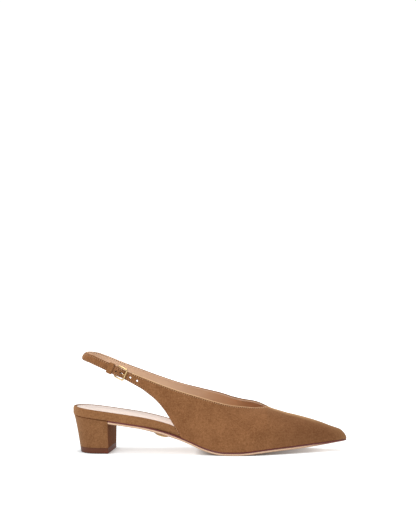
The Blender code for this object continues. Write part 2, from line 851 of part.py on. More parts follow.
def make_buckle(finish):
    """The frame, a rounded rectangle that leans out from the hinge bar, and the prong through the tab."""
    place = buckle_matrix()
    tilt = math.asin(BUCKLE_RISE / BUCKLE_REACH)
    half = BUCKLE_WIDTH / 2
    corners = ((BUCKLE_REACH, half, 0), (0, half, 90), (0, -half, 180), (BUCKLE_REACH, -half, 270))
    points = []
    for x, z, turn in corners:
        corner_x = x - math.copysign(BUCKLE_CORNER, x - BUCKLE_REACH / 2)
        corner_z = z - math.copysign(BUCKLE_CORNER, z)
        for k in range(5):
            angle = math.radians(turn + 22.5 * k)
            over = BUCKLE_CORNER * math.cos(angle)
            points.append((corner_x + over, 0, corner_z + BUCKLE_CORNER * math.sin(angle)))
    leaned = place @ Matrix.Rotation(tilt, 4, "Z")
    add_wire("buckle_frame", points, WIRE_RADIUS, leaned, finish, True)
    ring = WIRE_RADIUS + FIT + PRONG_RADIUS
    turns = [math.radians(60 + 22.5 * k) for k in range(10)]
    prong = [(ring * math.cos(a), ring * math.sin(a), 0) for a in turns]
    tip_x = BUCKLE_REACH * math.cos(tilt)
    tip_y = BUCKLE_RISE + WIRE_RADIUS + FIT + PRONG_RADIUS
    prong += [
        (0.88 * ring, -0.97 * ring, 0),
        (1.62 * ring, -0.53 * ring, 0),
        (0.55 * tip_x, 0.30 * tip_y, 0),
        (0.80 * tip_x, 0.86 * tip_y, 0),
        (0.95 * tip_x, 1.06 * tip_y, 0),
        (tip_x + 2 * PRONG_RADIUS, 1.04 * tip_y, 0),
    ]
    add_wire("buckle_prong", prong, PRONG_RADIUS, place, finish, False)


def make_keeper(finish):
    """The suede loop that holds the tab's end against the strap."""
    place = buckle_matrix()
    low, high = -UPPER_WALL / 2 - FIT, 1.5 * UPPER_WALL + 2 * FIT
    half = STRAP_WIDTH / 2 + FIT
    loop = []
    for y, z, turn in ((high, half, 0), (low, half, 90), (low, -half, 180), (high, -half, 270)):
        corner_y = y - math.copysign(KEEPER_BEND, y - (low + high) / 2)
        corner_z = z - math.copysign(KEEPER_BEND, z)
        for k in range(4):
            angle = math.radians(turn + 30 * k)
            loop.append((corner_y + KEEPER_BEND * math.cos(angle), corner_z + KEEPER_BEND * math.sin(angle)))
    points = [
        Vector((-KEEPER_SET + end * KEEPER_WIDTH / 2, y, z)) for end in (-1, 0, 1) for y, z in loop
    ]
    turn = len(loop)
    faces = [
        (i * turn + k, (i + 1) * turn + k, (i + 1) * turn + (k + 1) % turn, i * turn + (k + 1) % turn)
        for i in range(2)
        for k in range(turn)
    ]
    keeper = add_mesh("keeper_loop", points, faces, finish)
    keeper.matrix_local = place
    band = keeper.modifiers.new("band", "SOLIDIFY")
    band.thickness = KEEPER_THICKNESS
    band.offset = 1
    band.use_even_offset = True


def make_stud(finish):
    """A plain oval stud set into the underside of the waist."""
    bpy.ops.mesh.primitive_uv_sphere_add(segments=24, ring_count=12, radius=1)
    stud = bpy.context.object
    stud.name = stud.data.name = "waist_stud"
    for holder in list(stud.users_collection):
        holder.objects.unlink(stud)
    shoe_parts.objects.link(stud)
    edit = bmesh.new()
    edit.from_mesh(stud.data)
    whole = edit.verts[:] + edit.edges[:] + edit.faces[:]
    halved = bmesh.ops.bisect_plane(
        edit, geom=whole, plane_co=(0, 0, 0), plane_no=(0, 0, 1), clear_outer=True
    )
    rim = [item for item in halved["geom_cut"] if isinstance(item, bmesh.types.BMEdge)]
    bmesh.ops.edgeloop_fill(edit, edges=rim)
    bmesh.ops.recalc_face_normals(edit, faces=edit.faces)
    edit.to_mesh(stud.data)
    edit.free()
    stud.data.transform(Matrix.Diagonal((STUD_LENGTH / 2, STUD_WIDTH / 2, STUD_HEIGHT, 1)))
    stud.data.materials.append(finish)
    stud.data.shade_smooth()
    half = STUD_LENGTH / 2
    slope = (underside(STUD_PLACE + half) - underside(STUD_PLACE - half)) / STUD_LENGTH
    stud.parent = shoe_frame
    drop = WAIST_CROWN + 1.5 * FIT
    stud.matrix_local = Matrix.Translation(
        (STUD_PLACE, STUD_SIDE, underside(STUD_PLACE) - drop)
    ) @ Matrix.Rotation(-math.atan(slope), 4, "Y")


for old in list(bpy.data.objects):
    bpy.data.objects.remove(old, do_unlink=True)

shoe_parts = bpy.data.collections.new("slingback_pump")
cutters = bpy.data.collections.new("cutters")
bpy.context.scene.collection.children.link(shoe_parts)
bpy.context.scene.collection.children.link(cutters)
cutters.hide_render = True

shoe_frame = bpy.data.objects.new("shoe_frame", None)
shoe_parts.objects.link(shoe_frame)
shoe_frame.location.x = -(HEEL_UNDERCUT + BREAST_PLACE) / 2

suede = material("tan_suede", (0.29, 0.14, 0.055), 0.95)
sock_leather = material("pale_sock_leather", (0.87, 0.73, 0.64), 0.6)
sole_leather = material("natural_sole_leather", (0.68, 0.44, 0.30), 0.55)
edge_paint = material("burgundy_edge", (0.17, 0.02, 0.015), 0.4)
heel_rubber = material("brown_top_piece", (0.15, 0.055, 0.03), 0.5)
gold = material("pale_gold", (0.72, 0.54, 0.23), 0.22, 1.0)

make_sole(sole_leather, edge_paint)
make_insole(suede, sock_leather)
make_heel(suede, heel_rubber)
make_upper(suede)
make_strap(suede)
make_buckle(gold)
make_keeper(suede)
make_stud(gold)
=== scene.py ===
"""The looks of a slingback pump, the right shoe of a pair, in metres, with its toe along +X and +Z up."""

import math
from bisect import bisect_right

import bmesh
import bpy
from mathutils import Matrix, Vector, noise


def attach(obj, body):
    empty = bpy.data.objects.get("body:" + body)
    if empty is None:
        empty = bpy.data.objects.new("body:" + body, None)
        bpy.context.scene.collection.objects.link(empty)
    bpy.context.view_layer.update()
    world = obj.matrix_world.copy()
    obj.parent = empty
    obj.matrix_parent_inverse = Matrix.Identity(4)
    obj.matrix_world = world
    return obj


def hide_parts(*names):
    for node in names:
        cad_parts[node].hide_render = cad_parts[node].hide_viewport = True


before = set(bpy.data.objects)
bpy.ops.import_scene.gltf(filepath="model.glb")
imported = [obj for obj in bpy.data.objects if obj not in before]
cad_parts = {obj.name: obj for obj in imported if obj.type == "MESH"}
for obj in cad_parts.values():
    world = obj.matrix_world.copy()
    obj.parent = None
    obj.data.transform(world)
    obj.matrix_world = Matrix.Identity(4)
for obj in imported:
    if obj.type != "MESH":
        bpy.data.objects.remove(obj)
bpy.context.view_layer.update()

# Studio: a seamless light table that glows brighter away from the shoe, a broad soft lamp at the heel's side,
# a second one above, and a dim pale room that the camera sees as pure white. The camera stands at the outer
# side of the shoe, like the one that took the picture.
CAMERA_PLACE = Vector((0.1804, -1.3482, 0.1835))
CAMERA_TURN = math.radians(3.0)
CAMERA_ROLL = math.radians(-0.5)
CAMERA_LENS = 96.13
SENSOR_WIDTH = 36
ROOM_LIGHT = 0.45
ROOM_SEEN = 1.05
FLOOR_SPAN = 6.0
FLOOR_COLOUR = (0.66, 0.70, 0.72, 1)
TABLE_GLOW = 0.60
GLOW_START, GLOW_END = 0.24, 0.80
SHADE_REACH = 0.007
WHITE = (1, 1, 1, 1)


def in_scene(name, data):
    """A new object with this data, put in the scene."""
    made = bpy.data.objects.new(name, data)
    bpy.context.scene.collection.objects.link(made)
    return made


class Nodes:
    """Short ways to add and join the nodes of one tree."""

    def __init__(self, tree):
        self.tree = tree
        self.place = None

    def feed(self, socket, value):
        if isinstance(value, bpy.types.NodeSocket):
            self.tree.links.new(value, socket)
        else:
            socket.default_value = value

    def node(self, kind, settings=None, **sockets):
        made = self.tree.nodes.new(kind)
        for key, value in (settings or {}).items():
            setattr(made, key, value)
        for key, value in sockets.items():
            self.feed(made.inputs[key.replace("_", " ")], value)
        return made

    def math(self, operation, a, b, clamp=False):
        made = self.node("ShaderNodeMath", {"operation": operation, "use_clamp": clamp})
        self.feed(made.inputs[0], a)
        self.feed(made.inputs[1], b)
        return made.outputs[0]

    def ramp(self, value, low, high, out_low=0.0, out_high=1.0, kind="SMOOTHSTEP"):
        return self.node(
            "ShaderNodeMapRange", {"interpolation_type": kind}, Value=value, From_Min=low, From_Max=high,
            To_Min=out_low, To_Max=out_high,
        ).outputs["Result"]

    def mix(self, share, a, b):
        return self.node("ShaderNodeMix", {"data_type": "RGBA"}, Factor=share, A=a, B=b).outputs["Result"]

    def noise(self, scale, detail=3.0, roughness=0.5, place=None, distortion=0.0):
        return self.node(
            "ShaderNodeTexNoise", Vector=place or self.place, Scale=scale, Detail=detail,
            Roughness=roughness, Distortion=distortion,
        ).outputs["Fac"]


class Finish(Nodes):
    """A material under construction: a Principled BSDF, with patterns that lie on the shoe's own axes."""

    def __init__(self, name, roughness, metallic=0.0, **constants):
        self.material = bpy.data.materials.new(name)
        self.material.use_nodes = True
        super().__init__(self.material.node_tree)
        self.shader = self.tree.nodes["Principled BSDF"]
        for key, value in {"Roughness": roughness, "Metallic": metallic, **constants}.items():
            self.feed(self.shader.inputs[key.replace("_", " ")], value)
        self.place = self.node("ShaderNodeTexCoord").outputs["Object"]

    def stretched(self, scale, turn=(0, 0, 0)):
        return self.node("ShaderNodeMapping", Vector=self.place, Scale=scale, Rotation=turn).outputs[0]

    def along_axis(self, axis, low, high):
        """0 to 1 along one axis of the shoe, between two places."""
        return self.ramp(self.node("ShaderNodeSeparateXYZ", Vector=self.place).outputs[axis], low, high)

    def colour(self, value):
        self.feed(self.shader.inputs["Base Color"], value)

    def rough(self, value):
        self.feed(self.shader.inputs["Roughness"], value)

    def bump(self, height, depth, strength=1.0):
        made = self.node("ShaderNodeBump", Height=height, Strength=strength, Distance=depth)
        self.tree.links.new(made.outputs["Normal"], self.shader.inputs["Normal"])


camera_data = bpy.data.cameras.new("studio_camera")
camera_data.lens = CAMERA_LENS
camera_data.sensor_width = SENSOR_WIDTH
camera = in_scene("studio_camera", camera_data)
camera.matrix_world = (
    Matrix.Translation(CAMERA_PLACE)
    @ Matrix.Rotation(CAMERA_TURN, 4, "Z")
    @ Matrix.Rotation(math.pi / 2, 4, "X")
    @ Matrix.Rotation(CAMERA_ROLL, 4, "Z")
)
bpy.context.scene.camera = camera
bpy.context.scene.view_settings.view_transform = "Standard"

room = bpy.data.worlds.new("white_room")
room.use_nodes = True
room_nodes = Nodes(room.node_tree)
room_shader = room.node_tree.nodes["Background"]
seen = room_nodes.node("ShaderNodeLightPath").outputs["Is Camera Ray"]
room_nodes.feed(room_shader.inputs["Color"], WHITE)
room_nodes.feed(room_shader.inputs["Strength"], room_nodes.ramp(seen, 0, 1, ROOM_LIGHT, ROOM_SEEN, "LINEAR"))
bpy.context.scene.world = room


def soft_lamp(name, place, aim, width, power):
    """A square studio lamp that faces the aim."""
    data = bpy.data.lights.new(name, "AREA")
    data.shape = "SQUARE"
    data.size = width
    data.energy = power
    lamp = in_scene(name, data)
    lamp.location = place
    lamp.rotation_euler = (Vector(aim) - Vector(place)).to_track_quat("-Z", "Y").to_euler()


soft_lamp("heel_side_lamp", (-0.70, -1.05, 1.00), (0.10, 0, 0.03), 0.8, 10.0)
soft_lamp("overhead_lamp", (0.16, 0.02, 1.2), (0.12, 0, 0.02), 0.8, 8.8)

half_span = FLOOR_SPAN / 2
floor_corners = [(half_span * x, half_span * y, 0) for x, y in ((-1, -1), (1, -1), (1, 1), (-1, 1))]
floor_mesh = bpy.data.meshes.new("studio_floor")
floor_mesh.from_pydata(floor_corners, [], [(0, 1, 2, 3)])
studio_floor = in_scene("studio_floor", floor_mesh)
floor_paint = Finish("floor_paint", 0.9, Base_Color=FLOOR_COLOUR, Emission_Color=WHITE)
off_middle = floor_paint.node("ShaderNodeVectorMath", {"operation": "LENGTH"}, Vector=floor_paint.place)
floor_glow = floor_paint.ramp(
    off_middle.outputs["Value"], GLOW_START, GLOW_END, TABLE_GLOW, 2 * TABLE_GLOW, "LINEAR"
)
floor_shade = floor_paint.node("ShaderNodeAmbientOcclusion", Distance=SHADE_REACH).outputs["AO"]
floor_light = floor_paint.math("MULTIPLY", floor_shade, floor_glow)
floor_paint.feed(floor_paint.shader.inputs["Emission Strength"], floor_light)
studio_floor.data.materials.append(floor_paint.material)


# Outsole: natural leather from the heel's breast to the toe, hollowed at the waist, flat under the ball and
# trimmed flush with the upper. Its edge is left pale and turns darker towards the toe. Its faces that turn
# down, the tread and the lower round of its edge, take a darker colour: painted shade under the sole.
SHOE_LENGTH = 0.2635
SEAT_OVERHANG = 0.0009
BALL_WIDTH = 0.0780
HEEL_RISE = 0.0333
TOE_SPRING = 0.0099
BACK_RADIUS = 0.0250
TOE_RADIUS = 0.0060
SOLE_EDGE = 0.0033
SOLE_ROUND = 0.0009
SOLE_TOP_ROUND = 0.0003
ROUND_STEPS = 4
TREAD_SHADE_FACING = -0.35
OUTSOLE_SHARE = 0.56
GAP = 0.00015
WAIST_CROWN = 0.0030
CROWN_REACH = 0.52
BREAST_PLACE = 0.0368
BREAST_SKEW = 0.055
SKEW_FADE = 0.0300
HEEL_UNDERCUT = 0.0064
HEEL_OVERHANG = 0.0004
FRAME_SHIFT = Vector((-(HEEL_UNDERCUT + BREAST_PLACE) / 2, 0, 0))
SIGN = {"outer": -1, "inner": 1}
SOLE_STATIONS = 150
SEAT_STATIONS = 40
TREAD_SHARES = (0.558, 0.598)


class Pattern:
    """Rows of shares with named columns. Each column is read as one smooth curve without overshoot."""

    def __init__(self, columns, *rows):
        names = columns.split()
        self.columns = dict(zip(names, zip(*rows)))
        self.places = self.columns[names[0]]

    def slope(self, values, i):
        places = self.places
        steps = [
            (places[k + 1] - places[k], (values[k + 1] - values[k]) / (places[k + 1] - places[k]))
            for k in (i - 1, i)
            if 0 <= k < len(places) - 1
        ]
        if len(steps) == 1:
            return steps[0][1]
        (before, rise), (after, next_rise) = steps
        if rise * next_rise <= 0:
            return 0.0
        even = (rise * after + next_rise * before) / (before + after)
        return 2 * math.copysign(min(abs(rise), abs(next_rise), abs(even) / 2), rise)

    def at(self, column, place):
        places, values = self.places, self.columns[column]
        place = min(max(place, places[0]), places[-1])
        i = min(bisect_right(places, place) - 1, len(places) - 2)
        width = places[i + 1] - places[i]
        t = (place - places[i]) / width
        start, end = self.slope(values, i) * width, self.slope(values, i + 1) * width
        rise = values[i + 1] - values[i]
        return values[i] + t * (start + t * (3 * rise - 2 * start - end + t * (start + end - 2 * rise)))


# Half widths of the sole: share of the length | shares of the ball width on the outer and inner side
PLAN = Pattern(
    "along outer inner",
    (0.000, 0.320, 0.320),
    (0.113, 0.328, 0.327),
    (0.189, 0.344, 0.314),
    (0.283, 0.356, 0.283),
    (0.377, 0.385, 0.270),
    (0.472, 0.436, 0.327),
    (0.547, 0.490, 0.423),
    (0.604, 0.511, 0.474),
    (0.642, 0.508, 0.483),
    (0.717, 0.446, 0.430),
    (0.792, 0.344, 0.339),
    (0.868, 0.229, 0.233),
    (0.925, 0.146, 0.151),
    (0.962, 0.095, 0.097),
    (1.000, 0.050, 0.050),
)

# Underside: share of the length | shares of the heel rise, of the toe spring and of the sole edge
PROFILE = Pattern(
    "along heel toe edge",
    (0.000, 1.000, 0.000, 1.00),
    (0.068, 0.931, 0.000, 1.00),
    (0.136, 0.856, 0.000, 1.00),
    (0.200, 0.784, 0.000, 1.00),
    (0.260, 0.709, 0.000, 1.00),
    (0.302, 0.637, 0.000, 1.00),
    (0.351, 0.532, 0.000, 1.00),
    (0.400, 0.396, 0.000, 1.00),
    (0.442, 0.261, 0.000, 1.00),
    (0.479, 0.135, 0.000, 1.00),
    (0.500, 0.080, 0.000, 1.00),
    (0.521, 0.039, 0.000, 1.00),
    (0.540, 0.012, 0.000, 1.00),
    (TREAD_SHARES[0], 0.000, 0.000, 1.00),
    (TREAD_SHARES[1], 0.000, 0.000, 1.00),
    (0.622, 0.000, 0.020, 1.00),
    (0.645, 0.000, 0.068, 1.00),
    (0.670, 0.000, 0.140, 1.00),
    (0.700, 0.000, 0.222, 1.00),
    (0.743, 0.000, 0.320, 1.00),
    (0.800, 0.000, 0.420, 1.00),
    (0.860, 0.000, 0.540, 1.00),
    (0.917, 0.000, 0.710, 0.80),
    (0.974, 0.000, 0.910, 0.60),
    (1.000, 0.000, 1.000, 0.52),
)


def along(x):
    return x / SHOE_LENGTH


def rounded(distance, radius):
    """Share of the full width, this far from a round end."""
    return math.sqrt(max(0.0, 1 - (1 - min(distance / radius, 1)) ** 2))


def soft_step(t):
    t = min(max(t, 0.0), 1.0)
    return t * t * (3 - 2 * t)


def between(a, b, share):
    return a + (b - a) * share


def underside(x):
    return HEEL_RISE * PROFILE.at("heel", along(x)) + TOE_SPRING * PROFILE.at("toe", along(x))


def edge_share(x):
    return PROFILE.at("edge", along(x))


def sole_edge(x):
    return SOLE_EDGE * edge_share(x)


def seat_line(x):
    """Top of the sole's edge, which the upper, the board and the heel block meet."""
    return underside(x) + sole_edge(x)


def half_width(side, x):
    ends = rounded(x + SEAT_OVERHANG, BACK_RADIUS) * rounded(SHOE_LENGTH - x, TOE_RADIUS)
    return BALL_WIDTH * PLAN.at(side, along(x)) * ends


def crowded(first, last, count):
    """Places from first to last, closer together at both ends."""
    return [between(first, last, (1 - math.cos(math.pi * i / count)) / 2) for i in range(count + 1)]


def sole_places():
    return crowded(BREAST_PLACE + GAP, SHOE_LENGTH, SOLE_STATIONS)


def outline_ring(places, inset, height, skewed=False):
    """The sole's outline moved in by inset(x), at height(x). A skewed one starts along the heel's breast."""
    ring = []
    for side, sign in SIGN.items():
        flat = [Vector((x, sign * half_width(side, x))) for x in places]
        moved = []
        for i, point in enumerate(flat):
            ahead = flat[min(i + 1, len(flat) - 1)] - flat[max(i - 1, 0)]
            inward = Vector((sign * ahead.y, -sign * ahead.x)).normalized()
            if abs(point.y) < 1e-9:
                inward = Vector((1, 0) if i == 0 else (-1, 0))
            x, y = point + inward * inset(point.x)
            if skewed:
                x += BREAST_SKEW * y * max(0, 1 - (x - BREAST_PLACE) / SKEW_FADE)
            moved.append(Vector((x, y, height(x))))
        ring.append(moved)
    return ring


def make_piece(name, points, faces, *finishes, closed=True, smooth=40):
    """A piece of the shoe in its final place, riding with the rest of it."""
    mesh = bpy.data.meshes.new(name)
    mesh.from_pydata([Vector(point) + FRAME_SHIFT for point in points], [], faces)
    edit = bmesh.new()
    edit.from_mesh(mesh)
    bmesh.ops.remove_doubles(edit, verts=edit.verts, dist=1e-6)
    bmesh.ops.dissolve_degenerate(edit, edges=edit.edges, dist=1e-7)
    bmesh.ops.delete(edit, geom=[vert for vert in edit.verts if not vert.link_faces], context="VERTS")
    if closed:
        bmesh.ops.recalc_face_normals(edit, faces=edit.faces)
        if edit.calc_volume(signed=True) < 0:
            bmesh.ops.reverse_faces(edit, faces=edit.faces)
    edit.to_mesh(mesh)
    edit.free()
    mesh.shade_smooth()
    mesh.set_sharp_from_angle(angle=math.radians(smooth))
    for finish in finishes:
        mesh.materials.append(finish)
    return in_scene(name, mesh)


def loft(name, rings, finish, crown=None, columns=1, smooth=40):
    """A closed solid from rings of (outer points, inner points), bottom to top, capped across.

    crown gives how far the bottom cap hangs below its rim at x, and columns how many facets cross it.
    """
    count = len(rings[0][0])
    turn = 2 * count
    points = [point for outer, inner in rings for point in outer + inner[::-1]]
    faces = [
        (r * turn + k, r * turn + k + 1, (r + 1) * turn + k + 1, (r + 1) * turn + k)
        for r in range(len(rings) - 1)
        for k in range(turn - 1)
        if k != count - 1
    ]
    row = columns + 1
    bottom = len(points)
    for outer, inner in zip(*rings[0]):
        for j in range(row):
            point = outer.lerp(inner, j / columns)
            if crown:
                point.z -= crown(point.x) * (1 - (2 * j / columns - 1) ** 2)
            points.append(point)
    faces += [
        tuple(bottom + row * a + b for a, b in ((i, j), (i + 1, j), (i + 1, j + 1), (i, j + 1)))
        for i in range(count - 1)
        for j in range(columns)
    ]
    top = (len(rings) - 1) * turn
    faces += [
        (top + i, top + i + 1, top + turn - 2 - i, top + turn - 1 - i) for i in range(count - 1)
    ]
    for i in (0, count - 1):
        if (rings[0][0][i] - rings[0][1][i]).length > 1e-5:
            side = [r * turn + i for r in range(len(rings))]
            other = [r * turn + turn - 1 - i for r in reversed(range(len(rings)))]
            faces.append(tuple(side + other + [bottom + row * i + j for j in range(columns - 1, 0, -1)]))
    return make_piece(name, points, faces, finish, smooth=smooth)


def waist_crown(x):
    t = (x - BREAST_PLACE) / (CROWN_REACH * SHOE_LENGTH - BREAST_PLACE)
    return WAIST_CROWN * math.sin(math.pi * min(max(t, 0), 1)) ** 2


def outsole_top(x):
    return underside(x) + sole_edge(x) * OUTSOLE_SHARE


def rgb(red, green, blue):
    """A colour as read off a screen, 0 to 255, made linear."""
    return (*((value / 255) ** 2.2 for value in (red, green, blue)), 1)


sole_finish = Finish("sole_leather", 0.5)
sole_grain = sole_finish.noise(900, 4)
sole_cloud = sole_finish.noise(45, 3)
sole_colour = sole_finish.mix(sole_cloud, rgb(220, 184, 154), rgb(204, 166, 136))
# The sole turns darker towards the toe.
sole_colour = sole_finish.mix(sole_finish.along_axis("X", 0.196, 0.226), sole_colour, rgb(118, 62, 50))
sole_pores = sole_finish.ramp(sole_grain, 0.35, 0.75, 0.0, 0.25)
sole_finish.colour(sole_finish.mix(sole_pores, sole_colour, rgb(165, 120, 95)))
sole_finish.rough(sole_finish.ramp(sole_cloud, 0.3, 0.7, 0.42, 0.58))
sole_finish.bump(sole_grain, 0.00008)

# The tread's darker colour is painted shade under the sole.
tread_shade_finish = Finish("tread_painted_shade", 0.8)
tread_grain = tread_shade_finish.noise(500, 4)
tread_shade_finish.colour(tread_shade_finish.mix(tread_grain, rgb(150, 116, 90), rgb(180, 144, 116)))

sole_rings = []
for radius, at_top in ((SOLE_ROUND, False), (SOLE_TOP_ROUND, True)):
    for k in range(ROUND_STEPS + 1):
        a = math.pi / 2 * (k if at_top else ROUND_STEPS - k) / ROUND_STEPS
        inset, off = radius * (1 - math.cos(a)), radius * (1 - math.sin(a))
        sole_rings.append(outline_ring(
            sole_places(),
            lambda x: inset,
            lambda x: outsole_top(x) - off * edge_share(x) if at_top else underside(x) + off * edge_share(x),
            True,
        ))
outsole = loft("outsole_leather", sole_rings, sole_finish.material, waist_crown, 16)
outsole.data.materials.append(tread_shade_finish.material)
# Downward faces take the darker tread colour: painted shade.
for face in outsole.data.polygons:
    face.material_index = int(face.normal.z < TREAD_SHADE_FACING)
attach(outsole, "root")
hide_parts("outsole")


# Sole edge: the thin layer between the leather sole and the upper, dyed burgundy and waxed. It is set back
# a little, so that it reads as a dark glossy line round the whole foot.
RAND_SET = 0.0003

edge_finish = Finish("waxed_burgundy", 0.38, Coat_Weight=0.15, Coat_Roughness=0.3)
edge_streaks = edge_finish.noise(60, 3, place=edge_finish.stretched((1, 1, 9)))
edge_finish.colour(edge_finish.mix(edge_streaks, rgb(74, 20, 18), rgb(116, 40, 34)))
edge_finish.bump(edge_streaks, 0.00005)


def rand_ring(inset, share):
    return outline_ring(
        sole_places(),
        lambda x: RAND_SET + inset,
        lambda x: between(outsole_top(x), seat_line(x) - GAP, share),
        True,
    )


rand = loft(
    "burgundy_sole_edge",
    [rand_ring(0.0001, 0), rand_ring(0, 0.15), rand_ring(0, 0.8), rand_ring(0.00015, 1)],
    edge_finish.material,
)
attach(rand, "root")
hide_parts("sole_rand")


# Insole board: fibreboard, thick under the heel and at the open waist, thin inside the forefoot. It is
# wrapped in the upper's suede, which is folded under and shows as the edge of the platform.
BOARD_THICKNESS = 0.0072
BOARD_ROUND = 0.0017
BOARD_TUCK = 0.0004
LIP_RISE = 0.0009
BOARD_TOE_INSET = 0.0024
FEATHER_SET = 0.0002
UPPER_WALL = 0.0016
FIT = 0.0003
SUEDE_LIGHT = rgb(154, 108, 73)
SUEDE_DARK = rgb(105, 66, 39)
CLOUD_SCALE = 62.0
MOTTLE_SCALE = 640.0
FIBRE_SCALE = 2600.0

# Board: share of the length | share of its thickness at the seat | share of side inset
BOARD = Pattern(
    "along thick inset",
    (0.000, 1.000, 0.0),
    (0.230, 1.000, 0.0),
    (0.350, 1.000, 1.0),
    (0.400, 0.900, 1.0),
    (0.470, 0.560, 1.0),
    (0.540, 0.400, 1.0),
    (1.000, 0.360, 1.0),
)


def nap_group():
    """Suede nap: clouds where the nap lies either way, fine mottling, and single fibres for the bump."""
    tree = bpy.data.node_groups.new("suede_nap", "ShaderNodeTree")
    for name, kind, value in (
        ("Light", "NodeSocketColor", SUEDE_LIGHT),
        ("Dark", "NodeSocketColor", SUEDE_DARK),
        ("Cloud Scale", "NodeSocketFloat", CLOUD_SCALE),
        ("Fibre Scale", "NodeSocketFloat", FIBRE_SCALE),
    ):
        tree.interface.new_socket(name, in_out="INPUT", socket_type=kind).default_value = value
    tree.interface.new_socket("Colour", in_out="OUTPUT", socket_type="NodeSocketColor")
    tree.interface.new_socket("Height", in_out="OUTPUT", socket_type="NodeSocketFloat")
    nap = Nodes(tree)
    source = nap.node("NodeGroupInput").outputs
    nap.place = nap.node("ShaderNodeTexCoord").outputs["Object"]
    clouds = nap.noise(source["Cloud Scale"], 3, 0.55, distortion=0.6)
    mottles = nap.noise(MOTTLE_SCALE, 3, 0.6)
    fibres = nap.noise(source["Fibre Scale"], 2, 0.6)
    share = nap.math(
        "ADD", nap.ramp(clouds, 0.3, 0.7, 0.34, 0.62, "LINEAR"),
        nap.ramp(mottles, 0.25, 0.75, -0.30, 0.30, "LINEAR"), True,
    )
    share = nap.math("ADD", share, nap.ramp(fibres, 0.3, 0.7, -0.32, 0.32, "LINEAR"), True)
    nap.node("NodeGroupOutput", Colour=nap.mix(share, source["Dark"], source["Light"]), Height=fibres)
    return tree


suede_nap = nap_group()


def suede(name, light=SUEDE_LIGHT, dark=SUEDE_DARK, sheen=0.55):
    """A suede finish: dull, with a soft bright bloom where the nap is seen edge on."""
    finish = Finish(
        name, 0.95, Specular_IOR_Level=0.12, Sheen_Weight=sheen, Sheen_Roughness=0.38,
        Sheen_Tint=rgb(226, 190, 150),
    )
    nap = finish.node("ShaderNodeGroup", {"node_tree": suede_nap}, Light=light, Dark=dark)
    finish.colour(nap.outputs["Colour"])
    finish.bump(nap.outputs["Height"], 0.00012, 0.6)
    return finish


def board_top(x):
    return seat_line(x) + BOARD_THICKNESS * BOARD.at("thick", along(x))


def board_inset(x):
    """The board is flush with the heel at the seat and lies inside the upper's wall from the waist on."""
    toe = BOARD_TOE_INSET * soft_step((along(x) - 0.9) / 0.1)
    return (FEATHER_SET + UPPER_WALL + FIT) * BOARD.at("inset", along(x)) + toe


seat_shares = [1 - math.cos(math.pi / 2 * i / SEAT_STATIONS) for i in range(SEAT_STATIONS + 1)]
board_places = [between(-SEAT_OVERHANG, BREAST_PLACE, share) for share in seat_shares] + sole_places()[1:]


def board_ring(inset, level=None, drop=0.0):
    """The board's outline at a share of its thickness, or a drop below its top."""
    def height(x):
        return board_top(x) - drop if level is None else between(seat_line(x), board_top(x), level)

    return outline_ring(board_places, lambda x: board_inset(x) + inset, height)


round_steps = [math.pi / 2 * k / 6 for k in range(7)]
board_rings = [
    board_ring(BOARD_TUCK * tuck, level)
    for tuck, level in ((1, 0), (0.55, 0.05), (0.25, 0.12), (0.08, 0.22), (0, 0.35))
]
board_rings += [
    board_ring(BOARD_ROUND * (1 - math.cos(a)), None, (BOARD_ROUND + LIP_RISE) * (1 - math.sin(a)) - LIP_RISE)
    for a in round_steps
]
board_rings += [
    board_ring(BOARD_ROUND + inset, None, -LIP_RISE * rise)
    for inset, rise in ((0.0003, 0.94), (0.0006, 0.7), (0.0008, 0))
]
board_suede = suede("tan_suede_board", rgb(161, 116, 79), rgb(111, 72, 44))
board = loft("insole_board_suede", board_rings, board_suede.material)
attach(board, "root")
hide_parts("insole_board")


# Sock lining: a pale smooth leather cut a little smaller than the board and glued on it, with a faint
# slanting grain. Its thin cut edge is rounded.
SOCK_INSET = 0.0026
SOCK_BACK_INSET = 0.0010
SOCK_REACH = 0.945
SOCK_THICKNESS = 0.0004

sock_finish = Finish("smooth_sock_leather", 0.55)
sock_slant = sock_finish.stretched((0.12, 1.0, 1.0), (0, 0, math.radians(24)))
sock_lines = sock_finish.noise(620, 2, 0.5, sock_slant, 0.2)
sock_streaks = sock_finish.ramp(sock_lines, 0.35, 0.65)
sock_finish.colour(sock_finish.mix(sock_streaks, rgb(230, 211, 200), rgb(237, 221, 211)))
sock_finish.bump(sock_lines, 0.00010, 0.5)

sock_places = [x for x in board_places if x < SOCK_REACH * SHOE_LENGTH] + [SOCK_REACH * SHOE_LENGTH]


def sock_ring(inset, lift):
    return outline_ring(
        sock_places,
        lambda x: board_inset(x) + SOCK_INSET + SOCK_BACK_INSET * soft_step(1 - x / BREAST_PLACE) + inset,
        lambda x: board_top(x) + GAP / 3 + lift,
    )


sock = loft(
    "sock_leather",
    [sock_ring(0, 0), sock_ring(0, 0.5 * SOCK_THICKNESS), sock_ring(0.0002, SOCK_THICKNESS)],
    sock_finish.material,
    smooth=60,
)
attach(sock, "root")
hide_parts("sock_lining")


# Heel: a block turned to a D in plan, leaning forward at the back and in at the sides, covered with the
# upper's suede. The cover is folded round the two corners of the breast, which are painted lighter as a
# highlight; the breast itself and the seam under the board are painted darker as shade.
HEEL_TAPER = 0.125
TOP_PIECE_HEIGHT = 0.0055
TOP_PIECE_ROUND = 0.0008
HEEL_LEVELS = 26
BREAST_ROUND = 0.0006
SEAM_SHARE = 0.977
SEAM_DEPTH = 0.0007
BREAST_FACING = 0.8
CORNER_FACING = 0.2
SEAM_FACING = (0.25, 0.95)


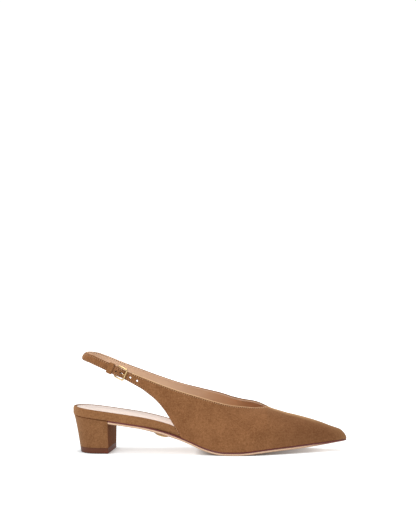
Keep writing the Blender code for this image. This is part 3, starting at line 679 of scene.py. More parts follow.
def heel_ring(level, height):
    """The heel's D outline at a share of its height, with the two corners of its breast rounded."""
    back = between(-HEEL_OVERHANG, HEEL_UNDERCUT, (1 - level) ** 0.75)
    ring = []
    for side, sign in SIGN.items():
        points = []
        for q in seat_shares:
            x_seat = between(-SEAT_OVERHANG, BREAST_PLACE, q)
            y = sign * half_width(side, x_seat) * (1 - HEEL_TAPER * (1 - level) ** 1.4)
            x = between(back, BREAST_PLACE, q) + BREAST_SKEW * y * q
            points.append(Vector((x, y, height(x))))
        corner = points.pop()
        start = corner.x - BREAST_ROUND
        points[-1].x = min(points[-1].x, start)
        for k in range(1, 5):
            a = math.pi / 2 * k / 4
            x, y = start + BREAST_ROUND * math.sin(a), corner.y - sign * BREAST_ROUND * (1 - math.cos(a))
            points.append(Vector((x, y, height(x))))
        ring.append(points)
    return ring


def shrunk(ring, inset):
    """A ring moved towards its own middle by about the inset."""
    points = ring[0] + ring[1]
    middle = sum(points, Vector()) / len(points)
    share = 1 - inset / max(abs(point.y) for point in points)
    return [[Vector((between(middle.x, p.x, share), p.y * share, p.z)) for p in side] for side in ring]


heel_suede = suede("tan_suede_heel", rgb(149, 106, 72), rgb(99, 63, 38))
breast_shade_suede = suede("tan_suede_painted_shade", rgb(120, 72, 42), rgb(76, 43, 23), 0.1)
corner_highlight_suede = suede("tan_suede_painted_corner_highlight", rgb(176, 130, 92), rgb(132, 90, 60))
block_foot = TOP_PIECE_HEIGHT + GAP
heel_rings = []
for share in [step / HEEL_LEVELS for step in range(HEEL_LEVELS)] + [SEAM_SHARE, 1.0]:
    level = between(block_foot / (HEEL_RISE + SOLE_EDGE), 1, share)
    heel_rings.append(heel_ring(level, lambda x: between(block_foot, seat_line(x) - GAP, share)))
heel_rings[-1] = shrunk(heel_rings[-1], SEAM_DEPTH)
heel = loft("heel_block_suede", heel_rings, heel_suede.material, smooth=50)
for finish in (breast_shade_suede, corner_highlight_suede):
    heel.data.materials.append(finish.material)
# The breast and the sunk seam under the board take a darker suede, painted shade, and the breast's
# corners a lighter one, a painted highlight.
for face in heel.data.polygons:
    if face.normal.x > BREAST_FACING or SEAM_FACING[0] < face.normal.z < SEAM_FACING[1]:
        face.material_index = 1
    elif face.normal.x > CORNER_FACING:
        face.material_index = 2
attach(heel, "root")
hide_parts("heel_block")


# Top piece: the wearing part of the heel, pressed from thin brown layers and nailed and glued to the block.
# Its side shows the layers as fine lines, and its lower edge is rounded off.
rubber_finish = Finish("layered_top_piece", 0.6, Specular_IOR_Level=0.25)
rubber_layers = rubber_finish.noise(70, 2, 0.5, rubber_finish.stretched((0.25, 0.25, 26)))
rubber_colour = rubber_finish.mix(rubber_layers, rgb(80, 43, 27), rgb(108, 64, 43))
rubber_corner = rubber_finish.math(
    "MULTIPLY", rubber_finish.along_axis("X", 0.004, 0.015), rubber_finish.along_axis("Z", 0.0045, 0.0010)
)
rubber_finish.colour(rubber_finish.mix(rubber_corner, rubber_colour, rgb(104, 52, 36)))
rubber_finish.bump(rubber_layers, 0.00010)


def piece_ring(height, inset=0.0):
    return shrunk(heel_ring(height / (HEEL_RISE + SOLE_EDGE), lambda x: height), inset)


top_rings = [
    piece_ring(TOP_PIECE_ROUND * (1 - math.sin(a)), TOP_PIECE_ROUND * (1 - math.cos(a)))
    for a in reversed(round_steps)
]
top_rings += [piece_ring(TOP_PIECE_HEIGHT * share) for share in (0.4, 0.7, 0.95)]
top_rings.append(piece_ring(TOP_PIECE_HEIGHT, 0.00015))
top_piece = loft("heel_top_piece", top_rings, rubber_finish.material, smooth=50)
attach(top_piece, "root")
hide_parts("top_piece")


# Upper: the vamp and both quarters in one piece of suede, pulled over the last and cemented to the board,
# with the outer quarter drawn out into a tab. A thin leather lining backs it and stops just under its rim.
INSTEP_HEIGHT = 0.0425
THROAT_SHARE = 0.7145
THROAT_PLACE = THROAT_SHARE * SHOE_LENGTH
THROAT_RADIUS = 0.0040
NOSE_RADIUS = 0.0076
SWELL = 0.38
STRAP_WIDTH = 0.0080
JOINT_OVERHANG = 0.0016
JOINT_PLACE = 0.0500
TAB_ROOT = 0.0650
TAB_TIP = 0.0368
TAB_CLEARANCE = 0.00035
BAR_PLACE = 0.0442
WIRE_RADIUS = 0.0008
FOLD_THICKNESS = 0.0010
SUEDE_THICKNESS = 0.0009
LINING_THICKNESS = 0.0006
LINING_END = 0.0050
LINING_TRIM = 3
LINING_FRONT = 0.0015
RIM_ROUND = 0.00022
STITCH_SET = 0.0012
GROOVE_DEPTH = 0.00013
GROOVE_WIDTH = 0.00038
DENT_DEPTH = 0.00018
DENT_SCALE = 38
DENT_FADE = 0.006
HOLE_RADIUS = 0.0009
HOLE_PITCH = 0.0073
HOLE_FIRST = 0.0003
SLOT_PLACE = 0.0054
SLOT_LENGTH = 0.0032
SLOT_WIDTH = 0.0014
RIM_STEPS = (0.0, 0.00025, 0.0005, 0.00075, 0.001, 0.0012, 0.0014, 0.0017, 0.0021, 0.0030)
MIDDLE_COLUMNS = 26
VAMP_ROWS = 80
QUARTER_ROWS = 110
TAB_ROWS = 60
CURVE_SAMPLES = 48

# Topline: share of the length | shares of the instep height over the heel's lean, and of an upright wall
TOPLINE = Pattern(
    "along outer inner upright",
    (0.118, 1.522, 1.545, 1.00),
    (0.211, 1.407, 1.448, 1.00),
    (0.283, 1.336, 1.379, 1.00),
    (0.343, 1.275, 1.330, 1.00),
    (0.390, 1.234, 1.298, 0.99),
    (0.465, 1.181, 1.271, 0.92),
    (0.540, 1.113, 1.240, 0.72),
    (0.614, 1.042, 1.152, 0.48),
    (0.681, 0.991, 1.088, 0.18),
    (THROAT_SHARE, 1.000, 1.000, 0.00),
)

# Half widths at the topline: share of the length | shares of the ball width
GIRTH = Pattern(
    "along outer inner",
    (0.136, 0.309, 0.309),
    (0.189, 0.328, 0.319),
    (0.242, 0.349, 0.331),
    (0.283, 0.362, 0.341),
    (0.340, 0.373, 0.347),
    (0.423, 0.372, 0.347),
    (0.464, 0.365, 0.341),
    (0.509, 0.345, 0.322),
    (0.555, 0.310, 0.300),
    (0.600, 0.247, 0.240),
    (0.645, 0.162, 0.166),
    (0.668, 0.115, 0.122),
    (0.691, 0.067, 0.068),
    (THROAT_SHARE, 0.031, 0.031),
)

# Rows of the quarter from the tab forward: place on the topline | place of its foot | share cut away below
QUARTER = Pattern(
    "top foot cut",
    (0.118, 0.106, 0.129),
    (0.211, 0.1985, 0.160),
    (0.243, 0.232, 0.188),
    (0.272, 0.262, 0.228),
    (0.287, 0.285, 0.296),
    (0.302, 0.307, 0.366),
    (0.317, 0.3285, 0.467),
    (0.332, 0.349, 0.594),
    (0.3455, 0.367, 0.735),
    (0.358, 0.387, 0.887),
    (0.370, 0.404, 1.000),
    (0.404, 0.434, 1.000),
    (0.445, 0.472, 1.000),
    (0.490, 0.510, 1.000),
    (0.536, 0.547, 1.000),
    (0.579, 0.585, 1.000),
    (THROAT_SHARE, THROAT_SHARE, 1.000),
)

# Ridge of the vamp: share of the length | share of the throat's height over the sole edge
RIDGE = Pattern(
    "along rise",
    (THROAT_SHARE, 1.000),
    (0.733, 0.935),
    (0.755, 0.876),
    (0.777, 0.818),
    (0.821, 0.720),
    (0.864, 0.612),
    (0.908, 0.490),
    (0.951, 0.349),
    (0.973, 0.280),
    (1.000, 0.185),
)

# Outward lean of the wall at its foot: share of the length | degrees on the outer and inner side
FLARE = Pattern(
    "along outer inner",
    (0.380, 5.0, 26.0),
    (0.470, 9.0, 20.0),
    (0.560, 13.0, 11.0),
    (0.640, 13.0, 11.0),
    (0.800, 14.0, 14.0),
    (1.000, 10.0, 10.0),
)

# Middle line of the sling strap: share of the length | shares of the instep height over the heel's lean
STRAP_LINE = Pattern(
    "along outer inner",
    (0.033, 1.452, 1.455),
    (0.053, 1.463, 1.471),
    (0.072, 1.465, 1.474),
    (0.094, 1.448, 1.458),
    (0.113, 1.429, 1.440),
    (0.136, 1.400, 1.415),
    (0.167, 1.358, 1.384),
    (0.205, 1.307, 1.346),
    (0.245, 1.256, 1.308),
)


def heel_lean(x):
    """How far the heel lifts the foot here, as a curve that ends at the ball."""
    return HEEL_RISE * max(0.0, 1 - x / (0.58 * SHOE_LENGTH)) ** 1.25


def girth(side, x):
    return BALL_WIDTH * GIRTH.at(side, along(x)) * rounded(THROAT_PLACE - x, THROAT_RADIUS)


def strap_point(side, x):
    """Middle of the sling strap's thickness and width beside the heel."""
    y = SIGN[side] * (girth(side, x) - UPPER_WALL / 2)
    return Vector((x, y, heel_lean(x) + INSTEP_HEIGHT * STRAP_LINE.at(side, along(x))))


def strap_frame(side, x):
    """The strap's middle and its directions: forward along it, outward, and up across its width."""
    middle = strap_point(side, x)
    forward = (strap_point(side, x + FIT) - strap_point(side, x - FIT)).normalized()
    outward = Vector((forward.y, -forward.x, 0)) * -SIGN[side]
    outward.normalize()
    across = outward.cross(forward)
    if across.z < 0:
        across.negate()
    return middle, forward, outward, across


def buckle_matrix():
    """Axes at the buckle's hinge bar: X forward along the strap, Y outward, Z up across it."""
    middle, forward, outward, across = strap_frame("outer", BAR_PLACE)
    turned = Matrix((forward, outward, across)).transposed().to_4x4()
    return Matrix.Translation(middle + FRAME_SHIFT) @ turned


bar = buckle_matrix()


TAB_LIFT_HIGH = UPPER_WALL / 2 + WIRE_RADIUS + FIT + FOLD_THICKNESS + TAB_CLEARANCE

# How far the tab stands off the strap line: place in front of the hinge bar | height
TAB_LIFT = Pattern(
    "place lift",
    (-0.0200, UPPER_WALL + FIT),
    (-0.0027, UPPER_WALL + FIT),
    (-0.0006, TAB_LIFT_HIGH),
    (0.0007, TAB_LIFT_HIGH),
    (0.0037, TAB_LIFT_HIGH * 0.50),
    (0.0068, 0.00012),
    (0.0084, 0.0),
    (0.0200, 0.0),
)


def wall_ends(side, top_x):
    """Foot and top of the upper's wall at this place of the topline, and how free its foot is."""
    sign = SIGN[side]
    if top_x >= THROAT_PLACE:
        throat = INSTEP_HEIGHT - seat_line(THROAT_PLACE)
        rise = throat * RIDGE.at("rise", along(top_x)) * rounded(SHOE_LENGTH - top_x, NOSE_RADIUS)
        foot = Vector((top_x, sign * max(0, half_width(side, top_x) - FEATHER_SET), seat_line(top_x)))
        return foot, Vector((top_x, 0, seat_line(top_x) + rise)), 1.0
    foot_x = SHOE_LENGTH * QUARTER.at("foot", along(top_x))
    cut = QUARTER.at("cut", along(top_x))
    top_z = heel_lean(top_x) + INSTEP_HEIGHT * TOPLINE.at(side, along(top_x))
    foot_z = between(top_z, seat_line(foot_x), cut)
    held = soft_step((cut - 0.2) / 0.8)
    foot_y = between(girth(side, foot_x), half_width(side, foot_x) - FEATHER_SET, held)
    foot = Vector((foot_x, sign * foot_y, foot_z))
    top = Vector((top_x, sign * girth(side, top_x), top_z))
    narrow = 1 - soft_step((top_x - 0.8 * TAB_ROOT) / (0.2 * TAB_ROOT))
    if narrow > 0:
        middle, _, outward, across = strap_frame(side, top_x - JOINT_OVERHANG)
        middle += outward * UPPER_WALL / 2
        top = top.lerp(middle + across * STRAP_WIDTH / 2, narrow)
        foot = foot.lerp(middle - across * STRAP_WIDTH / 2, narrow)
    return foot, top, held


def wall_curve(side, top_x):
    """The upper's outer face from its foot to its top, as one swelling curve."""
    foot, top, held = wall_ends(side, top_x)
    sign = SIGN[side]
    flare = math.radians(FLARE.at(side, along(foot.x))) * held
    upright = TOPLINE.at("upright", along(top_x)) * math.pi / 2 if top_x < THROAT_PLACE else 0.0
    reach = SWELL * (top - foot).length
    low = foot + Vector(((top.x - foot.x) / 3, sign * reach * math.sin(flare), reach * math.cos(flare)))
    high = top + Vector(((foot.x - top.x) / 3, sign * reach * math.cos(upright), -reach * math.sin(upright)))
    if held == 0:
        low, high = foot.lerp(top, 1 / 3), foot.lerp(top, 2 / 3)
    points = []
    for j in range(CURVE_SAMPLES + 1):
        t = j / CURVE_SAMPLES
        u = 1 - t
        points.append(foot * u**3 + low * 3 * t * u * u + high * 3 * t * t * u + top * t**3)
    if side == "outer" and top_x < TAB_ROOT:
        middle, forward, outward, _ = strap_frame(side, BAR_PLACE)
        centre = (foot + top) / 2
        lift = TAB_LIFT.at("lift", (centre - middle).dot(forward))
        narrow = rounded(top_x - TAB_TIP + TAB_CLEARANCE, STRAP_WIDTH / 2)
        points = [centre.lerp(point, narrow) + outward * lift for point in points]
    return points


def spread_columns(curve):
    """Points along the curve, close together near both rims, each with its way from the foot and the top."""
    reach = [0.0]
    for a, b in zip(curve, curve[1:]):
        reach.append(reach[-1] + (b - a).length)
    length = reach[-1]
    share = min(1.0, length / (2.4 * RIM_STEPS[-1]))
    rim = [step * share for step in RIM_STEPS]
    places = rim + [
        between(rim[-1], length - rim[-1], k / MIDDLE_COLUMNS) for k in range(1, MIDDLE_COLUMNS)
    ] + [length - step for step in reversed(rim)]
    column = []
    for place in places:
        i = min(bisect_right(reach, place) - 1, len(curve) - 2)
        gap = reach[i + 1] - reach[i]
        t = (place - reach[i]) / gap if gap > 1e-12 else 0.0
        column.append((curve[i].lerp(curve[i + 1], min(max(t, 0.0), 1.0)), place, length - place))
    return column


def wall_rows(side):
    """Places on the topline where the upper's sections are taken, from its back end to the toe."""
    root = TAB_ROOT if side == "outer" else JOINT_PLACE
    tab = [between(TAB_TIP, TAB_ROOT, (i / TAB_ROWS) ** 1.2) for i in range(TAB_ROWS)]
    quarter = [between(THROAT_PLACE, root, (1 - i / QUARTER_ROWS) ** 1.3) for i in range(QUARTER_ROWS)]
    vamp = [between(SHOE_LENGTH, THROAT_PLACE, (1 - i / VAMP_ROWS) ** 1.8) for i in range(VAMP_ROWS + 1)]
    return (tab if side == "outer" else []) + quarter + vamp


def groove(distance):
    return GROOVE_DEPTH * math.exp(-(((distance - STITCH_SET) / GROOVE_WIDTH) ** 2))


def wall_sheet(side):
    """The outer face as (place on the topline, row of (point, outward direction)).

    It has rounded rims, a groove under each seam and soft dents.
    """
    rows = wall_rows(side)
    columns = [spread_columns(wall_curve(side, x)) for x in rows]
    sheet = []
    for i, (top_x, column) in enumerate(zip(rows, columns)):
        before, after = columns[max(i - 1, 0)], columns[min(i + 1, len(rows) - 1)]
        on_vamp = top_x >= THROAT_PLACE
        cut_free = not on_vamp and QUARTER.at("cut", along(top_x)) < 0.999
        row = []
        last = len(column) - 1
        for j, (point, from_foot, from_top) in enumerate(column):
            ahead = after[j][0] - before[j][0]
            up = column[min(j + 1, last)][0] - column[max(j - 1, 0)][0]
            outward = ahead.cross(up) * -SIGN[side]
            if outward.length < 1e-12:
                outward = Vector((1, 0, 0)) if on_vamp else Vector((0, SIGN[side], 0))
            outward.normalize()
            if on_vamp and j == last and (ahead.x or ahead.z):
                outward = Vector((-ahead.z, 0, ahead.x)).normalized()
            depth = 0.0
            if not on_vamp:
                fade = soft_step((THROAT_PLACE - top_x) / 0.003)
                depth += groove(from_top) * fade + RIM_ROUND * fade * max(0, 1 - from_top / 0.0005) ** 2
            if cut_free:
                depth += groove(from_foot) + RIM_ROUND * max(0, 1 - from_foot / 0.0005) ** 2
            dent = noise.noise(point * DENT_SCALE) * DENT_DEPTH
            dent *= min(1, from_foot / DENT_FADE) * min(1, from_top / DENT_FADE + on_vamp)
            row.append((point - outward * depth + outward * dent, outward))
        sheet.append((top_x, row))
    return sheet


sheets = {side: wall_sheet(side) for side in SIGN}


def wall_shell(name, depth, thickness, *finishes, window=None, reach=SHOE_LENGTH, trim=0):
    """One layer of the wall: the outer face moved in by depth, with a thickness and a cut rim.

    window is the (place, radius) of an opening left in it, in front of the hinge bar. The layer ends at reach
    towards the toe, and trim columns under the topline.
    """
    points, faces = [], []
    from_bar = bar.inverted()
    for side in SIGN:
        start = len(points)
        sheet = [(top_x, row) for top_x, row in sheets[side] if top_x <= reach + 1e-9]
        wide = len(sheet[0][1])
        points += [point - outward * depth for _, row in sheet for point, outward in row]
        for i, (top_x, _) in enumerate(sheet[:-1]):
            short = trim if top_x < THROAT_PLACE - LINING_FRONT else 0
            for j in range(wide - 1 - short):
                corners = [start + wide * a + b for a, b in ((i, j), (i + 1, j), (i + 1, j + 1), (i, j + 1))]
                if window and side == "outer":
                    spot = from_bar @ (sum((points[k] for k in corners), Vector()) / 4 + FRAME_SHIFT)
                    if math.hypot(spot.x - window[0], spot.z) < window[1]:
                        continue
                faces.append(tuple(corners if side == "outer" else corners[::-1]))
    piece = make_piece(name, points, faces, *finishes, closed=False, smooth=60)
    wall = piece.modifiers.new("wall", "SOLIDIFY")
    wall.thickness = thickness
    wall.offset = -1
    wall.material_offset_rim = len(finishes) - 1
    return piece


def settle(piece):
    """Makes the piece's modifiers part of its mesh."""
    shown = piece.evaluated_get(bpy.context.evaluated_depsgraph_get())
    piece.data = bpy.data.meshes.new_from_object(shown)
    piece.modifiers.clear()


def punched(piece, cutters):
    """Cuts the punches out of the piece."""
    for cutter in cutters:
        punch = piece.modifiers.new("punch", "BOOLEAN")
        punch.object = cutter
        punch.solver = "EXACT"
        punch.material_mode = "TRANSFER"
    settle(piece)
    piece.data.set_sharp_from_angle(angle=math.radians(50))


def punch_tool(place, length, width):
    """A round or slotted punch across the tab."""
    edit = bmesh.new()
    bmesh.ops.create_cone(edit, cap_ends=True, segments=28, radius1=width / 2, radius2=width / 2, depth=0.02)
    for vert in edit.verts:
        if abs(vert.co.x) > 1e-6:
            vert.co.x += math.copysign((length - width) / 2, vert.co.x)
    edit.transform(bar @ Matrix.Translation((place, 0, 0)) @ Matrix.Rotation(math.pi / 2, 4, "X"))
    if edit.calc_volume(signed=True) < 0:
        bmesh.ops.reverse_faces(edit, faces=edit.faces)
    mesh = bpy.data.meshes.new("punch_tool")
    # The punch gives the hole's walls a near-black colour: painted shade.
    mesh.materials.append(hole_shade_finish.material)
    edit.to_mesh(mesh)
    edit.free()
    return in_scene("punch_tool", mesh)


upper_suede = suede("tan_suede_upper")
# Painted shade darkens the suede towards the toe; a painted highlight lightens the crest of the vamp.
toe_shade = upper_suede.mix(
    upper_suede.ramp(upper_suede.along_axis("X", 0.13, 0.235), 0, 1, 0.0, 0.36),
    upper_suede.shader.inputs["Base Color"].links[0].from_socket, rgb(84, 52, 34),
)
ridge_highlight_share = upper_suede.ramp(upper_suede.along_axis("X", 0.190, 0.232), 0, 1, 0.6, 0.2)
for axis, low, high in (("X", 0.150, 0.172), ("Y", -0.0100, -0.0010), ("Y", 0.0100, 0.0010)):
    ridge_highlight_share = upper_suede.math("MULTIPLY", ridge_highlight_share, upper_suede.along_axis(axis, low, high))
upper_suede.colour(upper_suede.mix(ridge_highlight_share, toe_shade, rgb(206, 162, 116)))
cut_finish = Finish("cut_leather_edge", 0.8)
cut_fibres = cut_finish.noise(1500, 3, 0.6)
cut_finish.colour(cut_finish.mix(cut_fibres, rgb(196, 158, 122), rgb(222, 188, 156)))
cut_finish.bump(cut_fibres, 0.0001)
# Near black: painted shade on the punched holes' walls and on the disc seen through the end hole.
hole_shade_finish = Finish("painted_hole_shade", 0.9)
hole_shade_finish.colour(rgb(40, 23, 15))

lining_finish = Finish("pale_tan_lining", 0.6)
lining_grain = lining_finish.noise(700, 3, 0.55)
lining_cloud = lining_finish.noise(50, 2, 0.5)
lining_colour = lining_finish.mix(lining_cloud, rgb(212, 174, 143), rgb(200, 159, 126))
# Darker and warmer towards the vamp: painted shade inside the shoe.
lining_shade_share = lining_finish.along_axis("X", 0.075, 0.150)
lining_finish.colour(lining_finish.mix(lining_shade_share, lining_colour, rgb(206, 154, 110)))
lining_finish.bump(lining_grain, 0.00006)

upper = wall_shell("upper_suede", 0.0, SUEDE_THICKNESS, upper_suede.material)
lining = wall_shell(
    "upper_lining", SUEDE_THICKNESS + 0.00002, LINING_THICKNESS, lining_finish.material, cut_finish.material,
    window=(HOLE_FIRST, 1.25 * HOLE_RADIUS), reach=SHOE_LENGTH - LINING_END, trim=LINING_TRIM,
)
punches = [punch_tool(HOLE_FIRST + k * HOLE_PITCH, 2 * HOLE_RADIUS, 2 * HOLE_RADIUS) for k in (0, 2, 3)]
punches.append(punch_tool(SLOT_PLACE, SLOT_LENGTH, SLOT_WIDTH))
for layer_piece, tools in ((upper, punches), (lining, punches[1:])):
    punched(layer_piece, tools)
    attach(layer_piece, "root")
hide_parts("upper")
for tool in punches:
    bpy.data.objects.remove(tool, do_unlink=True)


# Sling strap: suede backed with the same lining, sewn to the inner quarter, carried round the heel and folded
# back round the buckle's hinge bar, where a slot lets the prong through. Its section bows out at the heel.
STRAP_EDGE = 0.0003
LOOP_BACK = 0.0068
LOOP_SKEW = 0.0034
LOOP_CROWN = 0.0019
LOOP_SIDE = 0.0360
LOOP_STATIONS = 96
LEG_STATIONS = 14
STRAP_COLUMNS = 22
PRONG_RADIUS = 0.0005
FOLD_REACH = WIRE_RADIUS + FIT + FOLD_THICKNESS
HOLE_SHADE_RADIUS = 1.3 * HOLE_RADIUS


def strap_path():
    """Middle points of the strap from the inner quarter round the heel to the hinge bar, with frames."""
    joint = JOINT_PLACE - JOINT_OVERHANG
    path = [strap_frame("inner", between(joint, LOOP_SIDE, i / LEG_STATIONS)) for i in range(LEG_STATIONS)]
    crowns = [0.0] * LEG_STATIONS
    reach = LOOP_SIDE - LOOP_BACK - UPPER_WALL / 2
    start, finish = strap_frame("inner", LOOP_SIDE)[3], strap_frame("outer", LOOP_SIDE)[3]
    for i in range(LOOP_STATIONS + 1):
        angle = math.pi / 2 - math.pi * i / LOOP_STATIONS
        side = "inner" if angle > 0 else "outer"
        beside = girth(side, LOOP_SIDE) - UPPER_WALL / 2
        skew = LOOP_SKEW * (1 + math.sin(angle)) / 2
        x = LOOP_SIDE - (reach - skew) * math.cos(angle)
        point = Vector((x, beside * math.sin(angle), strap_point(side, x).z))
        outward = Vector((-beside * math.cos(angle), reach * math.sin(angle), 0)).normalized()
        across = start.lerp(finish, i / LOOP_STATIONS).normalized()
        path.append((point, None, outward, across))
        crowns.append(LOOP_CROWN * math.cos(angle) ** 2)
    end = BAR_PLACE - (WIRE_RADIUS + FIT + FOLD_THICKNESS * 0.4)
    leg = [between(LOOP_SIDE, end, (i + 1) / LEG_STATIONS) for i in range(LEG_STATIONS)]
    path += [strap_frame("outer", x) for x in leg]
    crowns += [0.0] * LEG_STATIONS
    return path, crowns


def angles(count):
    return [2 * math.pi * k / count for k in range(count)]


def tube(name, rings, finish, closed=False):
    """A piece through rings of points, closed on itself or with a cap at both ends."""
    count, turn = len(rings), len(rings[0])
    faces = [
        tuple((i + a) % count * turn + (k + b) % turn for a, b in ((0, 0), (0, 1), (1, 1), (1, 0)))
        for i in range(count if closed else count - 1)
        for k in range(turn)
    ]
    if not closed:
        faces += [tuple(range(turn)), tuple(range((count - 1) * turn, count * turn))]
    return make_piece(name, [point for ring in rings for point in ring], faces, finish, smooth=50)


def strap_layer(name, section, finish):
    """One layer of the strap: its section of (across, outward) corners follows the path and bows with it."""
    half = STRAP_WIDTH / 2
    rings = [
        [middle + across * a + outward * (b - crown * (a / half) ** 2) for a, b in section]
        for (middle, _, outward, across), crown in zip(path, crowns)
    ]
    return tube(name, rings, finish)


def band_section(low, high, edge, sewn):
    """Section of one layer: rows across its outer face, then its inner face, with rounded outer corners."""
    half = STRAP_WIDTH / 2
    spread = [between(1, -1, k / STRAP_COLUMNS) for k in range(STRAP_COLUMNS + 1)]
    rows = [half * math.sin(math.pi / 2 * share) for share in spread]
    top = []
    for a in rows:
        rim = half - abs(a)
        fall = edge * max(0.0, 1 - rim / (2 * edge)) ** 2 if edge else 0.0
        top.append((a, high - fall - (groove(rim) if sewn else 0.0)))
    return top + [(a, low) for a in reversed(rows)]


path, crowns = strap_path()
strap = strap_layer(
    "sling_strap_suede", band_section(0.0, UPPER_WALL / 2, STRAP_EDGE, True), upper_suede.material
)
strap_back = strap_layer(
    "sling_strap_lining", band_section(-UPPER_WALL / 2, -0.00002, 0.0, False), lining_finish.material
)
for piece in (strap, strap_back):
    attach(piece, "root")
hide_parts("sling_strap")


def on_bar(x, y, z):
    """A point in front of the hinge bar, outward from it and up along it."""
    return bar @ Vector((x, y, z)) - FRAME_SHIFT


def fold_lug(name, low, high):
    """One half of the strap's fold round the bar, beside the prong."""
    inner, ease = WIRE_RADIUS + GAP, 0.0002
    section = ((inner, low), (FOLD_REACH - ease, low), (FOLD_REACH, low + ease), (FOLD_REACH, high - ease),
               (FOLD_REACH - ease, high), (inner, high))
    rings = [[on_bar(r * math.cos(a), r * math.sin(a), z) for r, z in section] for a in angles(32)]
    lug = tube(name, rings, upper_suede.material, True)
    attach(lug, "root")


fold_lug("strap_fold_upper", PRONG_RADIUS + FIT, STRAP_WIDTH / 2)
fold_lug("strap_fold_lower", -STRAP_WIDTH / 2, -PRONG_RADIUS - FIT)

# Inside the tab's end hole a dark disc on the fold is painted shade, seen through the hole.
hole_shade_rings = [
    [on_bar(HOLE_FIRST + HOLE_SHADE_RADIUS * math.cos(a), level, HOLE_SHADE_RADIUS * math.sin(a)) for a in angles(20)]
    for level in (FOLD_REACH + 0.00008, FOLD_REACH + 0.00018)
]
hole_shade_disc = tube("end_hole_painted_shade", hole_shade_rings, hole_shade_finish.material)
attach(hole_shade_disc, "root")


# Stitching: one row of lockstitch 1.2 mm in from every free edge of the upper and the strap, in brown thread
# outside and pale thread inside, each stitch sunk in the nap between two needle holes; outside, the holes are
# dark beads of painted shade. Along the outer topline's rim a row of pale beads is a painted highlight.
STITCH_PITCH = 0.0022
STITCH_LENGTH = 0.0015
THREAD_WIDTH = 0.00066
THREAD_HEIGHT = 0.00056
NEEDLE_HOLE = 0.00080
SEW_COLUMN = RIM_STEPS.index(STITCH_SET)
SEAM_FRONT = THROAT_PLACE - 0.0006
SEAM_CUT = 0.985
TAB_END = TAB_TIP + 0.0062
HIGHLIGHT_START = JOINT_PLACE + 0.0100
HIGHLIGHT_RISE = 0.0001


def stitch_tree():
    """A bead for each stitch and each needle hole, in turn along a path and turned to its outward side."""
    tree = bpy.data.node_groups.new("stitch_row", "GeometryNodeTree")
    for name, kind in (
        ("Path", "Geometry"), ("Pitch", "Float"), ("Stitch Length", "Float"), ("Thread Width", "Float"),
        ("Thread Height", "Float"), ("Needle Hole", "Float"), ("Thread", "Material"), ("Hole", "Material"),
    ):
        tree.interface.new_socket(name, in_out="INPUT", socket_type="NodeSocket" + kind)
    tree.interface.new_socket("Stitches", in_out="OUTPUT", socket_type="NodeSocketGeometry")
    seam = Nodes(tree)
    source = seam.node("NodeGroupInput").outputs
    curve = seam.node("GeometryNodeMeshToCurve", Mesh=source["Path"]).outputs[0]
    step = seam.math("MULTIPLY", source["Pitch"], 0.5)
    spaced = seam.node("GeometryNodeResampleCurve", {"mode": "LENGTH"}, Curve=curve, Length=step).outputs[0]
    in_turn = seam.math("MODULO", seam.node("GeometryNodeInputIndex").outputs[0], 2)
    tangent = seam.node("GeometryNodeInputTangent").outputs[0]
    outward = seam.node(
        "GeometryNodeInputNamedAttribute", {"data_type": "FLOAT_VECTOR"}, Name="outward"
    ).outputs["Attribute"]
    laid = seam.node("FunctionNodeAlignRotationToVector", {"axis": "X"}, Vector=tangent).outputs[0]
    turned = seam.node(
        "FunctionNodeAlignRotationToVector", {"axis": "Z", "pivot_axis": "X"}, Rotation=laid, Vector=outward
    ).outputs[0]
    bead = seam.node("GeometryNodeMeshUVSphere", Segments=8, Rings=5, Radius=0.5).outputs["Mesh"]

    def row(long, wide, turn, finish):
        """Every other bead of the row, as plain mesh in its own material."""
        size = seam.node("ShaderNodeCombineXYZ", X=long, Y=wide, Z=source["Thread Height"]).outputs[0]
        chosen = seam.node(
            "FunctionNodeCompare", {"operation": "EQUAL"}, A=in_turn, B=turn, Epsilon=0.1
        ).outputs["Result"]
        placed = seam.node(
            "GeometryNodeInstanceOnPoints", Points=spaced, Selection=chosen, Instance=bead, Rotation=turned,
            Scale=size,
        ).outputs[0]
        real = seam.node("GeometryNodeRealizeInstances", Geometry=placed).outputs[0]
        return seam.node("GeometryNodeSetMaterial", Geometry=real, Material=source[finish]).outputs[0]

    joined = seam.node("GeometryNodeJoinGeometry")
    seam.feed(joined.inputs[0], row(source["Stitch Length"], source["Thread Width"], 0.0, "Thread"))
    seam.feed(joined.inputs[0], row(source["Needle Hole"], source["Needle Hole"], 1.0, "Hole"))
    smooth = seam.node("GeometryNodeSetShadeSmooth", Geometry=joined.outputs[0]).outputs[0]
    seam.node("NodeGroupOutput", Stitches=smooth)
    return tree


stitch_row = stitch_tree()


def bead_finish(name, light, dark):
    finish = Finish(name, 0.6, Sheen_Weight=0.2)
    finish.colour(finish.mix(finish.noise(2400, 2, 0.5), dark, light))
    return finish.material


brown_thread = bead_finish("brown_thread", rgb(196, 150, 108), rgb(160, 114, 78))
pale_thread = bead_finish("pale_thread", rgb(232, 204, 176), rgb(206, 172, 142))
# Pale colours for the painted highlight along the outer topline's rim.
rim_highlight_beads = bead_finish("rim_highlight_beads", rgb(236, 198, 148), rgb(214, 172, 124))
# Near-black beads at the needle holes: painted shade.
needle_hole_shade = Finish("needle_hole_painted_shade", 0.95)
needle_hole_shade.colour(rgb(56, 34, 22))


